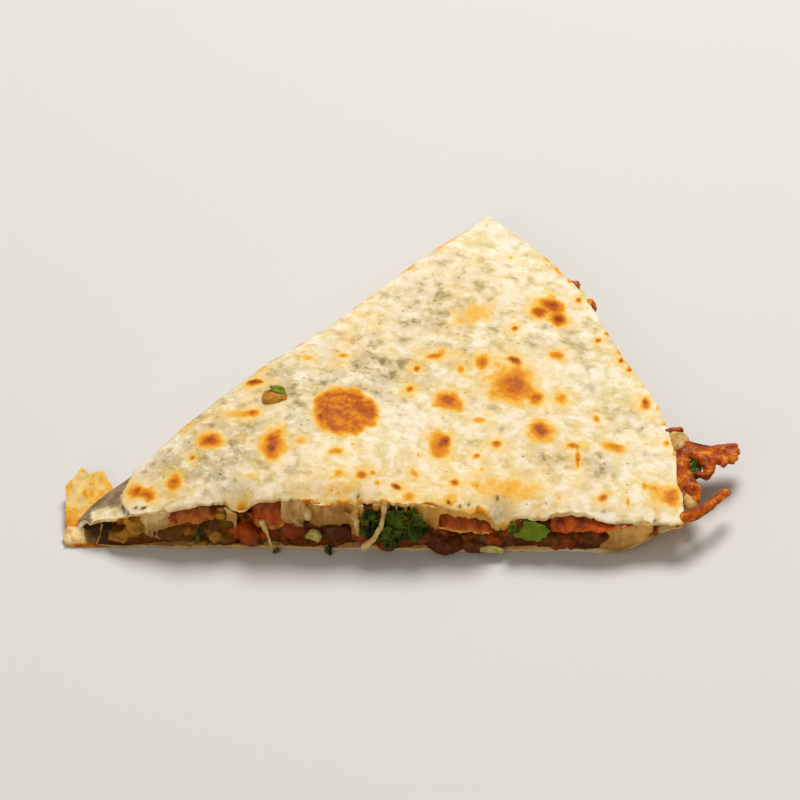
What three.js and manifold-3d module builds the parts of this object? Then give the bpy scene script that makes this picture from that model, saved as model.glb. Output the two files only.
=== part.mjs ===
// A slice of quesadilla: one flour tortilla folded over its filling, cut from the half-moon, with one cut side,
// one folded side and the tortilla's round rim.
// Millimetres. +X runs along the cut side from the slice's point to the rim, +Y back towards the fold, +Z up.
// The slice lies flat, and the origin is on its flat underside, near the middle.
// Most shapes are set out from the slice's point: r is the distance from it, and f the share of the way from the
// cut (0) to the outside of the fold (1).
import * as THREE from "three";
import { mergeVertices } from "three/addons/utils/BufferGeometryUtils.js";
import Module from "manifold-3d";

const wasm = await Module();
wasm.setup();
const { lerp, smoothstep, degToRad } = THREE.MathUtils;

// ---- driving dimensions
const RIM_RADIUS = 127; // a 254 mm tortilla
const RIM_DIP = 2.2; // how far the uneven rim draws in near its middle
const SLICE_ANGLE = degToRad(48); // from the cut side to the outside of the fold
const SHEET = 1.5; // tortilla thickness
const RIM_SHEET = 1.0; // its thickness at the rim
const GAP = 0.3; // clear distance between two pieces
const RIM_LIFT = 6.0; // how far the rim curls off the table at the cut side
const RIM_LIFT_WIDTH = 16; // the band that curls
const TOP_SETBACK = 0.8; // the upper layer's cut edge lies this far behind the lower one's
const POINT_TOP = 5; // where the upper layer starts, from the slice's point
const POINT_BOTTOM = 1; // where the lower layer starts
const ORIGIN = new THREE.Vector3(70, 40, 0); // from the slice's point to the part's origin

// Height of the filling between the layers, by distance from the point.
const FILL_HEIGHT = through([
  [4, 2.4],
  [12, 4.7],
  [20, 7.2],
  [30, 10.2],
  [50, 12.3],
  [63, 11.5],
  [75, 9.4],
  [90, 8.0],
  [104, 8.2],
  [113, 6.9],
  [118, 4.1],
  [122, 1.6],
  [127, 0.3],
]);
// Share of the filling's height that is meat, along the cut; melted cheese is above it.
const MEAT_SHARE = through([
  [6, 0.5],
  [24, 0.8],
  [34, 0.6],
  [41, 0.76],
  [52, 0.5],
  [66, 0.62],
  [82, 0.84],
  [104, 0.76],
  [113, 0.42],
  [119, 0.3],
]);
// Where the upper layer's cut edge sags over the filling: distance from the point, depth and width.
const SAGS = [
  [36, 1.9, 2.4],
  [56, 0.9, 3.0],
  [80, 0.6, 4.5],
  [90, 4.3, 2.5],
];
const SAG_REACH = 3.5; // how far behind the cut a sag dies away
const FOLD_DROP = 0.14; // share of the filling's height that is lost towards the fold
const FOLD_ROUND = 0.58; // depth of the fold's round, as a share of its height
const FOLD_MOST = 0.45; // and never more than this share of the slice's width

// A smooth function through a few stations, level beyond both ends.
function through(stations) {
  const curve = new THREE.CubicInterpolant(
    stations.map(([at]) => at),
    stations.map(([, value]) => value),
    1,
  );
  return (at) => curve.evaluate(at)[0];
}

// ---- solids
function solidOf(geometry) {
  const bare = geometry.clone().deleteAttribute("normal").deleteAttribute("uv");
  const merged = mergeVertices(bare, 1e-4);
  return new wasm.Manifold(
    new wasm.Mesh({
      numProp: 3,
      vertProperties: merged.attributes.position.array,
      triVerts: new Uint32Array(merged.index.array),
    }),
  );
}

function geometryOf(solid) {
  const { vertProperties, triVerts } = solid.getMesh();
  const geometry = new THREE.BufferGeometry();
  geometry.setAttribute("position", new THREE.BufferAttribute(vertProperties, 3));
  geometry.setIndex(new THREE.BufferAttribute(triVerts, 1));
  geometry.computeVertexNormals();
  return geometry;
}

// The geometry with each vertex sent through a function.
function bent(geometry, place) {
  const spots = geometry.attributes.position;
  const spot = new THREE.Vector3();
  for (let i = 0; i < spots.count; i++) {
    place(spot.fromBufferAttribute(spots, i));
    spots.setXYZ(i, spot.x, spot.y, spot.z);
  }
  return geometry;
}

// A block of cells, one cell thick, whose u, v and w from 0 to 1 are sent to a place.
function block(cellsU, cellsV, place) {
  const unit = new THREE.BoxGeometry(1, 1, 1, cellsU, cellsV, 1).translate(0.5, 0.5, 0.5);
  return bent(unit, (spot) => spot.copy(place(spot.x, spot.y, spot.z)));
}

function joined(sum, piece) {
  return sum.add(piece);
}

// Only the largest of the bodies that a cut leaves.
function largest(solid) {
  return solid.decompose().reduce((most, body) => (body.volume() > most.volume() ? body : most));
}

function dice(seed) {
  let state = seed;
  return (low = 0, high = 1) => {
    state = (state * 1664525 + 1013904223) % 4294967296;
    return lerp(low, high, state / 4294967296);
  };
}

// ---- the slice's form
const widthAt = (r) => r * SLICE_ANGLE;

function onSlice(r, f, z) {
  return new THREE.Vector3(r * Math.cos(f * SLICE_ANGLE), r * Math.sin(f * SLICE_ANGLE), z);
}

// The rim's distance from the point, by the share of the way round to the fold.
function rimAt(share) {
  return RIM_RADIUS - RIM_DIP * Math.exp(-(((share - 0.53) / 0.14) ** 2));
}

function sheetAt(r) {
  return lerp(SHEET, RIM_SHEET, smoothstep(r, 104, RIM_RADIUS));
}

function underside(r, f) {
  return RIM_LIFT * lerp(1, 0.5, f) * smoothstep(r, RIM_RADIUS - RIM_LIFT_WIDTH, RIM_RADIUS);
}

// Lumps that the filling pushes up in the upper layer.
function lumps(r, f) {
  const { x, y } = onSlice(r, f, 0);
  const calm = smoothstep(r, 10, 35) * (1 - smoothstep(r, 95, 118));
  return calm * (0.45 * Math.sin(x / 6.1 + 0.7) * Math.sin(y / 7.3 + 1.9) + 0.3 * Math.sin(x / 3.7 - y / 4.9));
}

function upperside(r, f) {
  const shoulder = 1 - FOLD_DROP * smoothstep(f, 0.5, 1);
  return underside(r, f) + 2 * sheetAt(r) + FILL_HEIGHT(r) * shoulder + lumps(r, f);
}

function sagAt(r, f) {
  const fromCut = f * widthAt(r);
  const near = Math.exp(-((fromCut / SAG_REACH) ** 2));
  return SAGS.reduce((sum, [at, depth, width]) => sum + depth * Math.exp(-(((r - at) / width) ** 2)), 0) * near;
}

// Depth of the fold's round, measured across it.
function foldDepth(r) {
  const rise = upperside(r, 1) - underside(r, 1);
  return Math.min(FOLD_ROUND * rise, FOLD_MOST * widthAt(r));
}

// ---- tortilla: the upper layer, the fold and the lower layer are one sheet
const UPPER_SHARE = 0.5; // of the cells around the sheet
const FOLD_SHARE = 0.25;
const LOWER_SHARE = 1 - UPPER_SHARE - FOLD_SHARE;
const SHEET_CELLS = [50, 22]; // along the slice and around the sheet
const THINNEST = 0.04; // half the gap that is always left inside the fold

// Waves of the cut edges.
function ripple(r) {
  return 0.35 * Math.sin(r / 2.3) + 0.3 * Math.sin(r / 5.1 + 1);
}

// The sheet thickened by grow on the inside and at its edges, to cut clearances with.
function foldedSheet(grow, cellsAlong, cellsAround) {
  return block(cellsAlong, cellsAround, (u, v, w) => {
    const isUpper = v <= UPPER_SHARE;
    const isLower = v >= UPPER_SHARE + FOLD_SHARE;
    const toCut = isUpper ? v / UPPER_SHARE : Math.min(1, (1 - v) / LOWER_SHARE);
    const start = lerp(POINT_TOP, POINT_BOTTOM, smoothstep(v, UPPER_SHARE, UPPER_SHARE + FOLD_SHARE));
    const r = lerp(start - grow, rimAt(toCut) + grow, u);
    const width = widthAt(r);
    const depth = foldDepth(r);
    const bend = 1 - depth / width;
    const wall = (1 - w) * (sheetAt(r) + grow);
    if (!isUpper && !isLower) {
      const turn = (Math.PI * (v - UPPER_SHARE)) / FOLD_SHARE;
      const low = underside(r, bend);
      const middle = (low + upperside(r, bend)) / 2;
      const reach = Math.max(2 * THINNEST, depth - wall);
      const rise = Math.max(THINNEST, middle - low - wall);
      return onSlice(r, bend + (reach * Math.sin(turn)) / width, middle + rise * Math.cos(turn));
    }
    const edge = (isUpper ? TOP_SETBACK + ripple(r) : 0.4 * ripple(r)) - grow;
    const f = lerp(edge / width, bend, toCut);
    const low = underside(r, f);
    const middle = (low + upperside(r, f) - sagAt(r, f)) / 2;
    const half = Math.max(THINNEST, middle - low - wall);
    return onSlice(r, f, isUpper ? middle + half : middle - half);
  });
}

// The torn scrap at the slice's point, by distance along the fold and out from it.
const SCRAP_OUTLINE = [
  [2.5, -0.6],
  [4.2, 2.8],
  [11.5, 9.8],
  [17, 10.5],
  [16.8, 7.9],
  [20, 6.5],
  [18.9, 4],
  [17, -0.6],
];
const SCRAP_THICKNESS = 1.1;
const SCRAP_LIFT = 0.28; // rise for each millimetre out

function tornScrap() {
  const along = new THREE.Vector2(Math.cos(SLICE_ANGLE), Math.sin(SLICE_ANGLE));
  const outline = new THREE.Shape(SCRAP_OUTLINE.map(([x, y]) => new THREE.Vector2(x, y)));
  const flat = new THREE.ExtrudeGeometry(outline, { depth: SCRAP_THICKNESS, bevelEnabled: false });
  return bent(flat, (spot) => {
    const [run, out] = [spot.x, spot.y];
    const rise = 0.1 + SCRAP_LIFT * Math.max(0, out);
    spot.set(run * along.x - out * along.y, run * along.y + out * along.x, spot.z + rise);
  });
}

// A crumb: a faceted ball with uneven corners.
function crumb(roll, width, depth, height) {
  const ball = new THREE.IcosahedronGeometry(1, 1);
  const corners = new Map();
  bent(ball, (spot) => {
    const key = spot.toArray().map((c) => c.toFixed(3)).join();
    if (!corners.has(key)) corners.set(key, roll(0.78, 1.12));
    spot.multiplyScalar(corners.get(key));
  });
  return ball.rotateZ(roll(0, Math.PI)).scale(width / 2, depth / 2, height / 2).rotateY(roll(-0.4, 0.4));
}

// Scraps stuck to the tortilla: the bit on top and the fried crumbs on the rim, as r, f, width, depth and height.
const STUCK_SCRAPS = [
  [52, 0.73, 5.6, 5.2, 1.4],
  [127, 0.74, 2.6, 2.4, 1.6],
  [126.3, 0.66, 3.4, 2.4, 1.6],
  [127, 0.3, 1.8, 1.6, 1.4],
];

function tortillaSolid() {
  const roll = dice(11);
  const scraps = STUCK_SCRAPS.map(([r, f, width, depth, height]) => {
    const level = r < RIM_RADIUS - 2 ? upperside(r, f) + 0.2 : upperside(r, f) - RIM_SHEET;
    const at = onSlice(r, f, level);
    return crumb(roll, width, depth, height).translate(at.x, at.y, at.z);
  });
  return [foldedSheet(0, ...SHEET_CELLS), tornScrap(), ...scraps].map(solidOf).reduce(joined);
}

// ---- filling
const FILLING_START = 8;
const FILLING_END = 120;
const LAYER_GAP = 0.45; // between the filling's layers and the sheet, over the gap that the crumbs are cut to
const FILLING_CELLS = [22, 7]; // along the slice and back from the cut

// Lowest and highest point of the filling between the layers.
function fillingBounds(r, f) {
  const clear = sheetAt(r) + LAYER_GAP;
  return [underside(r, f) + clear, upperside(r, f) - sagAt(r, f) - clear];
}

function meatTop(r, f) {
  const [low, high] = fillingBounds(r, f);
  const share = lerp(MEAT_SHARE(r), 0.66, smoothstep(f, 0.05, 0.3));
  return lerp(low, high, share);
}

// A layer of the filling between two height functions, grown by grow.
function fillingLayer(grow, front, bottomAt, topAt) {
  return block(...FILLING_CELLS, (u, v, w) => {
    const r = lerp(FILLING_START - grow, FILLING_END + grow, u);
    const width = widthAt(r);
    const back = 1 - (foldDepth(r) + LAYER_GAP - grow) / width;
    const f = lerp((front(r) - grow) / width, back, v);
    const [low, high] = [bottomAt(r, f) - grow, topAt(r, f) + grow];
    return onSlice(r, f, lerp(low, high, w));
  });
}

const meatFace = (r) => 1.4 + 0.5 * Math.sin(r / 2.9);
const cheeseFace = (r) => 0.9 + 0.5 * Math.sin(r / 3.7 + 2);

// Crumbs of meat that show at the cut: distance from the point, height above the lower layer, width, height, and
// how far the crumb has slid out of the cut.
const MEAT_CRUMBS = [
  [10.5, 2.0, 4.2, 3.2, 0],
  [14.5, 4.4, 5.4, 4.6, 0],
  [22, 2.0, 6.0, 3.6, 0],
  [24.5, 6.4, 8.0, 5.4, 0],
  [31, 4.2, 6.2, 5.4, 0],
  [37.5, 2.6, 6.0, 5.2, 0.4],
  [41.5, 7.0, 5.6, 6.4, 0],
  [47, 3.0, 6.6, 4.4, 0],
  [55.3, 2.9, 6.6, 4.4, 0],
  [61, 1.9, 4.4, 3.4, 0],
  [66, 1.2, 6.4, 3.4, 1.0],
  [73.5, 3.2, 7.0, 4.6, 0.2],
  [78, 0.7, 7.6, 3.6, 1.5],
  [79.5, 6.0, 6.4, 4.0, 0],
  [84.5, 0.5, 7.4, 3.4, 1.5],
  [85.5, 4.8, 5.6, 4.0, 0],
  [90.8, 2.4, 5.2, 4.2, 0.2],
  [98.5, 2.0, 5.2, 3.6, 0],
  [103.5, 5.4, 6.8, 3.2, 0],
  [105.5, 2.2, 6.6, 4.0, 0],
  [110, 4.8, 6.4, 2.8, 0],
];
const CRUMB_MIDDLE = 1.5; // how far behind the cut a crumb's middle lies
const CRUMB_DEPTH = [3.2, 4.4];

function meatSolid(grow) {
  const roll = dice(5);
  const core = solidOf(fillingLayer(grow, meatFace, (r, f) => fillingBounds(r, f)[0], meatTop));
  const crumbs = MEAT_CRUMBS.map(([r, above, width, height, out]) => {
    const size = [width, roll(...CRUMB_DEPTH), height].map((side) => side + 2 * grow);
    return solidOf(crumb(roll, ...size).translate(r, CRUMB_MIDDLE - out + roll(-0.3, 0.3), SHEET + above));
  });
  return [core, ...crumbs].reduce(joined);
}

// Melted cheese that hangs over the meat: distance from the point, height of its middle, width and height.
const CHEESE_HANGS = [
  [18.4, 6.4, 4.6, 5.4],
  [33.5, 8.4, 2.6, 5.6],
  [47.3, 9.6, 5.6, 4.8],
  [54.4, 9.8, 7.8, 5.4],
  [59.8, 8.2, 2.6, 8.4],
  [101.5, 8.2, 6.4, 2.6],
  [114, 5.4, 6.6, 5.4],
  [118.5, 6.6, 4.4, 3.2],
];
const HANG_MIDDLE = 1.3;
const HANG_DEPTH = 3.4;

function cheeseSolid(grow) {
  const roll = dice(23);
  const bottom = (r, f) => meatTop(r, f) + LAYER_GAP;
  const core = solidOf(fillingLayer(grow, cheeseFace, bottom, (r, f) => fillingBounds(r, f)[1]));
  const hangs = CHEESE_HANGS.map(([r, z, width, height]) => {
    const size = [width, HANG_DEPTH, height].map((side) => side + 2 * grow);
    return solidOf(crumb(roll, ...size).translate(r, HANG_MIDDLE, z));
  });
  return [core, ...hangs].reduce(joined);
}

// ---- cilantro: lobed leaves, thin and wavy, that stand in the cut
const LEAF_THICKNESS = 0.5;
const LEAVES = [
  // x, y, z of the middle, length, width, turn about X and turn about Z
  { name: "cilantro_leaf_1", at: [64.4, -0.7, 8.6], size: [8.4, 8.2], tip: -72, turn: 20 },
  { name: "cilantro_leaf_2", at: [70.6, -0.7, 7.8], size: [7.2, 8.2], tip: -66, turn: -24 },
  { name: "cilantro_leaf_3", at: [66.6, -3.1, 3.7], size: [6.4, 4.4], tip: -66, turn: 10 },
  { name: "cilantro_leaf_4", at: [95.0, -1.0, 6.0], size: [10.4, 7.0], tip: -60, turn: -4 },
];

function leafShape({ at, size: [length, width], tip, turn }, grow) {
  const disc = new THREE.CylinderGeometry(1, 1, LEAF_THICKNESS + 2 * grow, 28, 2).rotateX(Math.PI / 2);
  return bent(disc, (spot) => {
    const angle = Math.atan2(spot.y, spot.x);
    const reach = Math.hypot(spot.x, spot.y);
    const lobe = 0.8 + 0.14 * Math.cos(3 * angle) + 0.08 * Math.cos(7 * angle + 1);
    const wave = 0.5 * Math.sin(3 * angle + length) * reach;
    spot.set((length / 2 + grow) * lobe * spot.x, (width / 2 + grow) * lobe * spot.y, spot.z + wave);
  })
    .rotateX(degToRad(-tip))
    .rotateZ(degToRad(turn))
    .translate(...at);
}

// ---- stems and onion
const STEM_SIZE = [1.1, 1.0, 4.2];
const STEM_AT = new THREE.Vector3(27.6, -0.8, 4.8);

function stemShape(grow) {
  const [width, depth, height] = STEM_SIZE.map((side) => side + 2 * grow);
  return new THREE.CylinderGeometry(width / 2, width / 2.4, height, 8)
    .rotateX(Math.PI / 2)
    .scale(1, depth / width, 1)
    .rotateY(0.18)
    .translate(STEM_AT.x, STEM_AT.y, STEM_AT.z);
}

const ONIONS = [
  // x, y, z of the middle, width, depth, height and turn about Y
  { name: "onion_1", at: [51.4, -0.9, 5.2], size: [3.2, 1.6, 2.6], turn: 0.5 },
  { name: "onion_2", at: [87.6, -1.5, 2.3], size: [5.2, 1.2, 1.5], turn: 0.15 },
];

function onionShape({ at, size, turn }, grow) {
  const [width, depth, height] = size.map((side) => side + 2 * grow);
  const slab = new THREE.BoxGeometry(width, depth, height, 3, 1, 1);
  return bent(slab, (spot) => spot.setZ(spot.z - 0.5 * (2 * spot.x / width) ** 2))
    .rotateY(turn)
    .translate(...at);
}

// ---- fried cheese that ran out over the rim, near the cut side's corner
const CRISP_THICKNESS = 1.2;
const CRISP_LEVEL = RIM_LIFT + 0.9;
// Outlines seen from above, by distance out from the rim and along it from the cut.
const LACE_OUTLINE = [
  [0, 7.4],
  [1.8, 9],
  [2.9, 12.7],
  [2.2, 16.6],
  [4.4, 18.8],
  [7.2, 17.4],
  [10.9, 19.4],
  [12, 22.6],
  [6, 23.6],
  [2.2, 25.8],
  [1.4, 30],
  [0, 29],
  [0, 21.7],
  [0, 14.3],
];
const FINGER_OUTLINE = [
  [0, 2.6],
  [3.4, 5.6],
  [8, 9.2],
  [7.4, 10.8],
  [2.8, 8.2],
  [0, 5.6],
];

// A flat crisp of that outline, which sinks by drop for each millimetre out.
function crisp(outline, drop) {
  const corners = outline.map(([out, along]) => new THREE.Vector2(out, along));
  const flat = new THREE.ExtrudeGeometry(new THREE.Shape(corners), { depth: CRISP_THICKNESS, bevelEnabled: false });
  return bent(flat, (spot) => {
    const [out, along] = [spot.x, spot.y];
    const wave = 0.5 * Math.sin(along / 1.7 + out / 2.3);
    const height = CRISP_LEVEL + spot.z + wave - drop * out;
    spot.copy(onSlice(RIM_RADIUS + GAP + out, along / widthAt(RIM_RADIUS), height));
  });
}

// ---- the slice
const LOOKS = {
  tortilla: { color: 0xeadfb8, roughness: 0.75 },
  meat: { color: 0x7a3418, roughness: 0.45 },
  melted_cheese: { color: 0xd9bf86, roughness: 0.35 },
  cilantro: { color: 0x3f6b1c, roughness: 0.5 },
  onion: { color: 0xd8cf9a, roughness: 0.35 },
  fried_cheese: { color: 0xb4521a, roughness: 0.4 },
};

const slice = new THREE.Group();
slice.position.copy(ORIGIN).negate();

function addNode(name, look, geometry) {
  const mesh = new THREE.Mesh(geometry, new THREE.MeshStandardMaterial({ ...LOOKS[look], metalness: 0 }));
  mesh.name = name;
  slice.add(mesh);
}

const cutters = [foldedSheet(GAP, ...SHEET_CELLS), stemShape(GAP)]
  .concat(LEAVES.map((leaf) => leafShape(leaf, GAP)))
  .concat(ONIONS.map((onion) => onionShape(onion, GAP)))
  .map(solidOf);
const clearOf = (solid, tools) => largest(tools.reduce((rest, tool) => rest.subtract(tool), solid));

addNode("tortilla", "tortilla", geometryOf(tortillaSolid()));
addNode("meat_filling", "meat", geometryOf(clearOf(meatSolid(0), cutters)));
addNode("melted_cheese", "melted_cheese", geometryOf(clearOf(cheeseSolid(0), [meatSolid(GAP), ...cutters])));
for (const leaf of LEAVES) addNode(leaf.name, "cilantro", leafShape(leaf, 0));
addNode("cilantro_stem", "cilantro", stemShape(0));
for (const onion of ONIONS) addNode(onion.name, "onion", onionShape(onion, 0));
addNode("fried_cheese_lace", "fried_cheese", crisp(LACE_OUTLINE, 0.12));
addNode("fried_cheese_finger", "fried_cheese", crisp(FINGER_OUTLINE, 0.1));

export default slice;
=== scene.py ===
# %% [markdown]
# # A slice of quesadilla
#
# A flour tortilla is folded over meat, melted cheese and cilantro, browned in a pan and cut into slices.
# One slice has three sides: the cut, where the filling shows, the fold, and the tortilla's round rim, where
# a little cheese ran out and fried crisp. The frame gives the slice's solids at their real size. What is
# missing is everything that makes it look like food: blisters and browned spots, a ragged cut, crumbs of
# meat, cheese that hangs in drapes, leaves with lobes and veins, and a finish for each of them.

# %% The frame
import math
import random

import bmesh
import bpy
import numpy as np
from mathutils import Matrix, Vector, noise


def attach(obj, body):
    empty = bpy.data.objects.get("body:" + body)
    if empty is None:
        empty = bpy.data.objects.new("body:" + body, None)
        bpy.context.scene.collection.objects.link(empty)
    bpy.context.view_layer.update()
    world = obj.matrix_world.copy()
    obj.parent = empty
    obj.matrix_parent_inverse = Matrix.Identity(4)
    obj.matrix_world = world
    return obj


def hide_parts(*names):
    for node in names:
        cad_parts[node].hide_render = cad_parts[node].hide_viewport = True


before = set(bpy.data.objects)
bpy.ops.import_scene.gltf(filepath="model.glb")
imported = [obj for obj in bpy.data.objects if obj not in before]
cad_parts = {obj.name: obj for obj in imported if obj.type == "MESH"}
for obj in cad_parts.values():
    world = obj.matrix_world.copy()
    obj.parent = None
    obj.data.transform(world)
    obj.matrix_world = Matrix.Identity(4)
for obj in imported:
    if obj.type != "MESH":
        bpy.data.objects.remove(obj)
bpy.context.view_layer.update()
print("solids:", ", ".join(sorted(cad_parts)))

# %% [markdown]
# ## Two sets of coordinates
#
# A slice is easiest to set out from its point: r is the distance from the point, and f the share of the way
# round from the cut (0) to the outside of the fold (1). So every mesh is made in millimetres from the slice's
# point, with X along the cut, Y back towards the fold and Z up, and is moved into the frame's metres last.

# %% Units and the slice's point
MM = 0.001
POINT = Vector((-0.070, -0.040, 0.0))  # the slice's point in the frame, metres
TO_FRAME = Matrix.Translation(POINT) @ Matrix.Scale(MM, 4)
SLICE_ANGLE = math.radians(48)


def xyz(x, y, z):
    """Points from three arrays or numbers."""
    return np.stack(np.broadcast_arrays(x, y, z), axis=-1)


def on_slice(r, f, z):
    """Points from arrays of distance, share of the way round and height."""
    return xyz(r * np.cos(f * SLICE_ANGLE), r * np.sin(f * SLICE_ANGLE), z)


def width_at(r):
    return r * SLICE_ANGLE


# %% [markdown]
# ## Camera, floor and light
#
# The slice is seen from well above, as food on a table is, with its cut side in front. A long lens keeps
# its lines nearly parallel. One large soft lamp stands high behind the slice, so that the top is bright and
# the cut lies in soft shade, and a weak one in front keeps the filling from going black.

# %% Camera
CAMERA_DISTANCE = 4.0
CAMERA_LIFT = math.radians(44.4)
CAMERA_TURN = math.radians(1.0)
CAMERA_TARGET = Vector((-0.0018, -0.004, 0.008))
CAMERA_LENS = 872.4


def placed(name, data):
    """A new object in the scene."""
    made = bpy.data.objects.new(name, data)
    bpy.context.scene.collection.objects.link(made)
    return made


camera = placed("camera", bpy.data.cameras.new("camera"))
camera.data.lens = CAMERA_LENS
camera.data.sensor_width = 36
camera.data.clip_start = 0.01
level = math.cos(CAMERA_LIFT)
away = Vector((math.sin(CAMERA_TURN) * level, -math.cos(CAMERA_TURN) * level, math.sin(CAMERA_LIFT)))
camera.location = CAMERA_TARGET + CAMERA_DISTANCE * away
camera.rotation_euler = away.to_track_quat("Z", "Y").to_euler()
bpy.context.scene.camera = camera
print("camera at", tuple(round(c, 3) for c in camera.location))


# %% Lamps
WORLD_COLOUR = (1, 0.95, 0.88, 1)
WORLD_STRENGTH = 0.3


def lamp(name, place, size, power, tint):
    """A round lamp that faces the middle of the frame."""
    light = bpy.data.lights.new(name, "AREA")
    light.shape = "DISK"
    light.size = size
    light.energy = power
    light.color = tint
    made = placed(name, light)
    made.location = place
    made.rotation_euler = Vector(place).to_track_quat("Z", "Y").to_euler()


lamp("key", (0.1, 0.5, 0.88), 0.5, 9.0, (1, 0.98, 0.96))
lamp("fill", (-0.4, -0.85, 0.5), 0.7, 2.2, (1, 0.92, 0.78))

world = bpy.data.worlds.new("studio")
world.use_nodes = True
backdrop = world.node_tree.nodes["Background"]
backdrop.inputs["Color"].default_value = WORLD_COLOUR
backdrop.inputs["Strength"].default_value = WORLD_STRENGTH
bpy.context.scene.world = world
bpy.context.scene.view_settings.view_transform = "Standard"
print("lamps: key, fill and a pale world")

# %% [markdown]
# ## The slice's form
#
# The look has to sit on the solids, so the same driving dimensions give the form here: the filling's height
# along the slice, the rim that curls up off the table and the sheet that thins towards its rim. Only the
# sags of the upper layer over the filling are set more finely. The functions take whole arrays, so that a
# mesh of many thousand points is placed at once.


# %% Smooth functions
def lerp(low, high, share):
    return low + (high - low) * share


def smoothstep(x, low, high):
    share = np.clip((x - low) / (high - low), 0, 1)
    return share * share * (3 - 2 * share)


def bell(x, middle, width):
    return np.exp(-(((x - middle) / width) ** 2))


def through(stations):
    """A smooth function through a few stations, level beyond both ends."""
    at, value = np.array(stations, float).T
    step = np.diff(value) / np.diff(at)
    slope = np.concatenate([[0], (step[:-1] + step[1:]) / 2, [0]])

    def curve(x):
        x = np.clip(x, at[0], at[-1])
        i = np.clip(np.searchsorted(at, x, side="right") - 1, 0, len(at) - 2)
        span = at[i + 1] - at[i]
        t = (x - at[i]) / span
        start = value[i] * (1 + 2 * t) * (1 - t) ** 2 + slope[i] * span * t * (1 - t) ** 2
        end = value[i + 1] * t * t * (3 - 2 * t) + slope[i + 1] * span * t * t * (t - 1)
        return start + end

    return curve


# %% Driving dimensions of the form
RIM_RADIUS = 127
RIM_DIP = 2.2  # how far the rim is drawn in near its middle
SHEET = 1.5
RIM_SHEET = 1.0
RIM_LIFT = 6.0
RIM_LIFT_WIDTH = 16
TOP_SETBACK = 0.8
POINT_TOP = 5.4
POINT_BOTTOM = 0.2
FOLD_DROP = 0.14
FOLD_ROUND = 0.58
FOLD_MOST = 0.45
SAG_REACH = 3.5  # how far behind the cut a sag fades
SAGS = [
    # distance from the point, depth, half-width
    *[(32.5, 2.4, 4), (36, 3.2, 2.3), (51, 2.4, 12), (60, 0.7, 3.0), (80, 0.6, 4.5), (89.7, 5.5, 2.3)],
    *[(96, 1.9, 4.5), (112, 0.9, 14)],
]

fill_height = through(
    [(3, 0.2), (6, 2.6), (12, 4.7), (20, 7.2), (30, 10.2), (50, 12.3), (63, 11.5), (75, 9.4)]
    + [(90, 8.0), (104, 8.2), (113, 6.9), (118, 4.1), (122, 1.6), (127, 0.3)]
)
meat_share = through(
    [(6, 0.5), (24, 0.8), (34, 0.6), (41, 0.76), (52, 0.5), (66, 0.62), (82, 0.84), (104, 0.76)]
    + [(113, 0.42), (119, 0.3)]
)


def rim_at(share):
    return RIM_RADIUS - RIM_DIP * bell(share, 0.53, 0.14)


def sheet_at(r):
    return lerp(SHEET, RIM_SHEET, smoothstep(r, 104, RIM_RADIUS))


def underside(r, f):
    return RIM_LIFT * lerp(1, 0.5, f) * smoothstep(r, RIM_RADIUS - RIM_LIFT_WIDTH, RIM_RADIUS)


def lumps(r, f):
    x, y, _ = np.moveaxis(on_slice(r, f, 0), -1, 0)
    calm = smoothstep(r, 10, 35) * (1 - smoothstep(r, 95, 118))
    return calm * (0.45 * np.sin(x / 6.1 + 0.7) * np.sin(y / 7.3 + 1.9) + 0.3 * np.sin(x / 3.7 - y / 4.9))


def upperside(r, f):
    shoulder = 1 - FOLD_DROP * smoothstep(f, 0.5, 1)
    return underside(r, f) + 2 * sheet_at(r) + fill_height(r) * shoulder + lumps(r, f)


def sag_at(r, f):
    near = np.exp(-((f * width_at(r) / SAG_REACH) ** 2))
    return sum(depth * bell(r, at, width) for at, depth, width in SAGS) * near


def fold_depth(r):
    rise = upperside(r, 1) - underside(r, 1)
    return np.minimum(FOLD_ROUND * rise, FOLD_MOST * width_at(r))


print("highest point of the form:", round(float(upperside(50.0, 0.3)), 1), "mm")

# %% [markdown]
# ## Meshes by the block
#
# Most pieces are a block of cells pressed into shape: a sheet of dough, a layer of filling, a leaf. A grid is
# extruded into a closed block, its walls are cut into rows, and a function sends the block's u, v and w, each
# from 0 to 1, to a place on the slice. The grid stays regular, so relief can be added to it afterwards.


# %% Blocks and their points
def mesh_of(name, shape):
    """A mesh from a bmesh, which is used up."""
    mesh = bpy.data.meshes.new(name)
    shape.to_mesh(mesh)
    shape.free()
    mesh.update()
    return mesh


def block(name, cells_u, cells_v, rows, place):
    """A closed mesh of cells whose u, v and w are sent through place."""
    shape = bmesh.new()
    bmesh.ops.create_grid(shape, x_segments=cells_u, y_segments=cells_v, size=0.5)
    raised = bmesh.ops.extrude_face_region(shape, geom=shape.faces[:])
    top = [part for part in raised["geom"] if isinstance(part, bmesh.types.BMVert)]
    bmesh.ops.translate(shape, verts=top, vec=(0, 0, 1))
    if rows > 1:
        posts = [edge for edge in shape.edges if edge.verts[0].co.z != edge.verts[1].co.z]
        bmesh.ops.subdivide_edges(shape, edges=posts, cuts=rows - 1)
    mesh = mesh_of(name, shape)
    unit = points_of(mesh)
    u, v, w = unit[:, 0] + 0.5, unit[:, 1] + 0.5, unit[:, 2]
    move_points(mesh, place(u, v, w))
    face_outwards(mesh)
    return mesh, (u, v, w)


def vectors_of(mesh, name):
    flat = np.empty(len(mesh.vertices) * 3)
    mesh.vertices.foreach_get(name, flat)
    return flat.reshape(-1, 3)


def points_of(mesh):
    return vectors_of(mesh, "co")


def move_points(mesh, points):
    mesh.vertices.foreach_set("co", np.ascontiguousarray(points, float).ravel())
    mesh.update()


def push_out(mesh, heights):
    """Moves each point along its normal."""
    move_points(mesh, points_of(mesh) + vectors_of(mesh, "normal") * heights[:, None])


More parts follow.
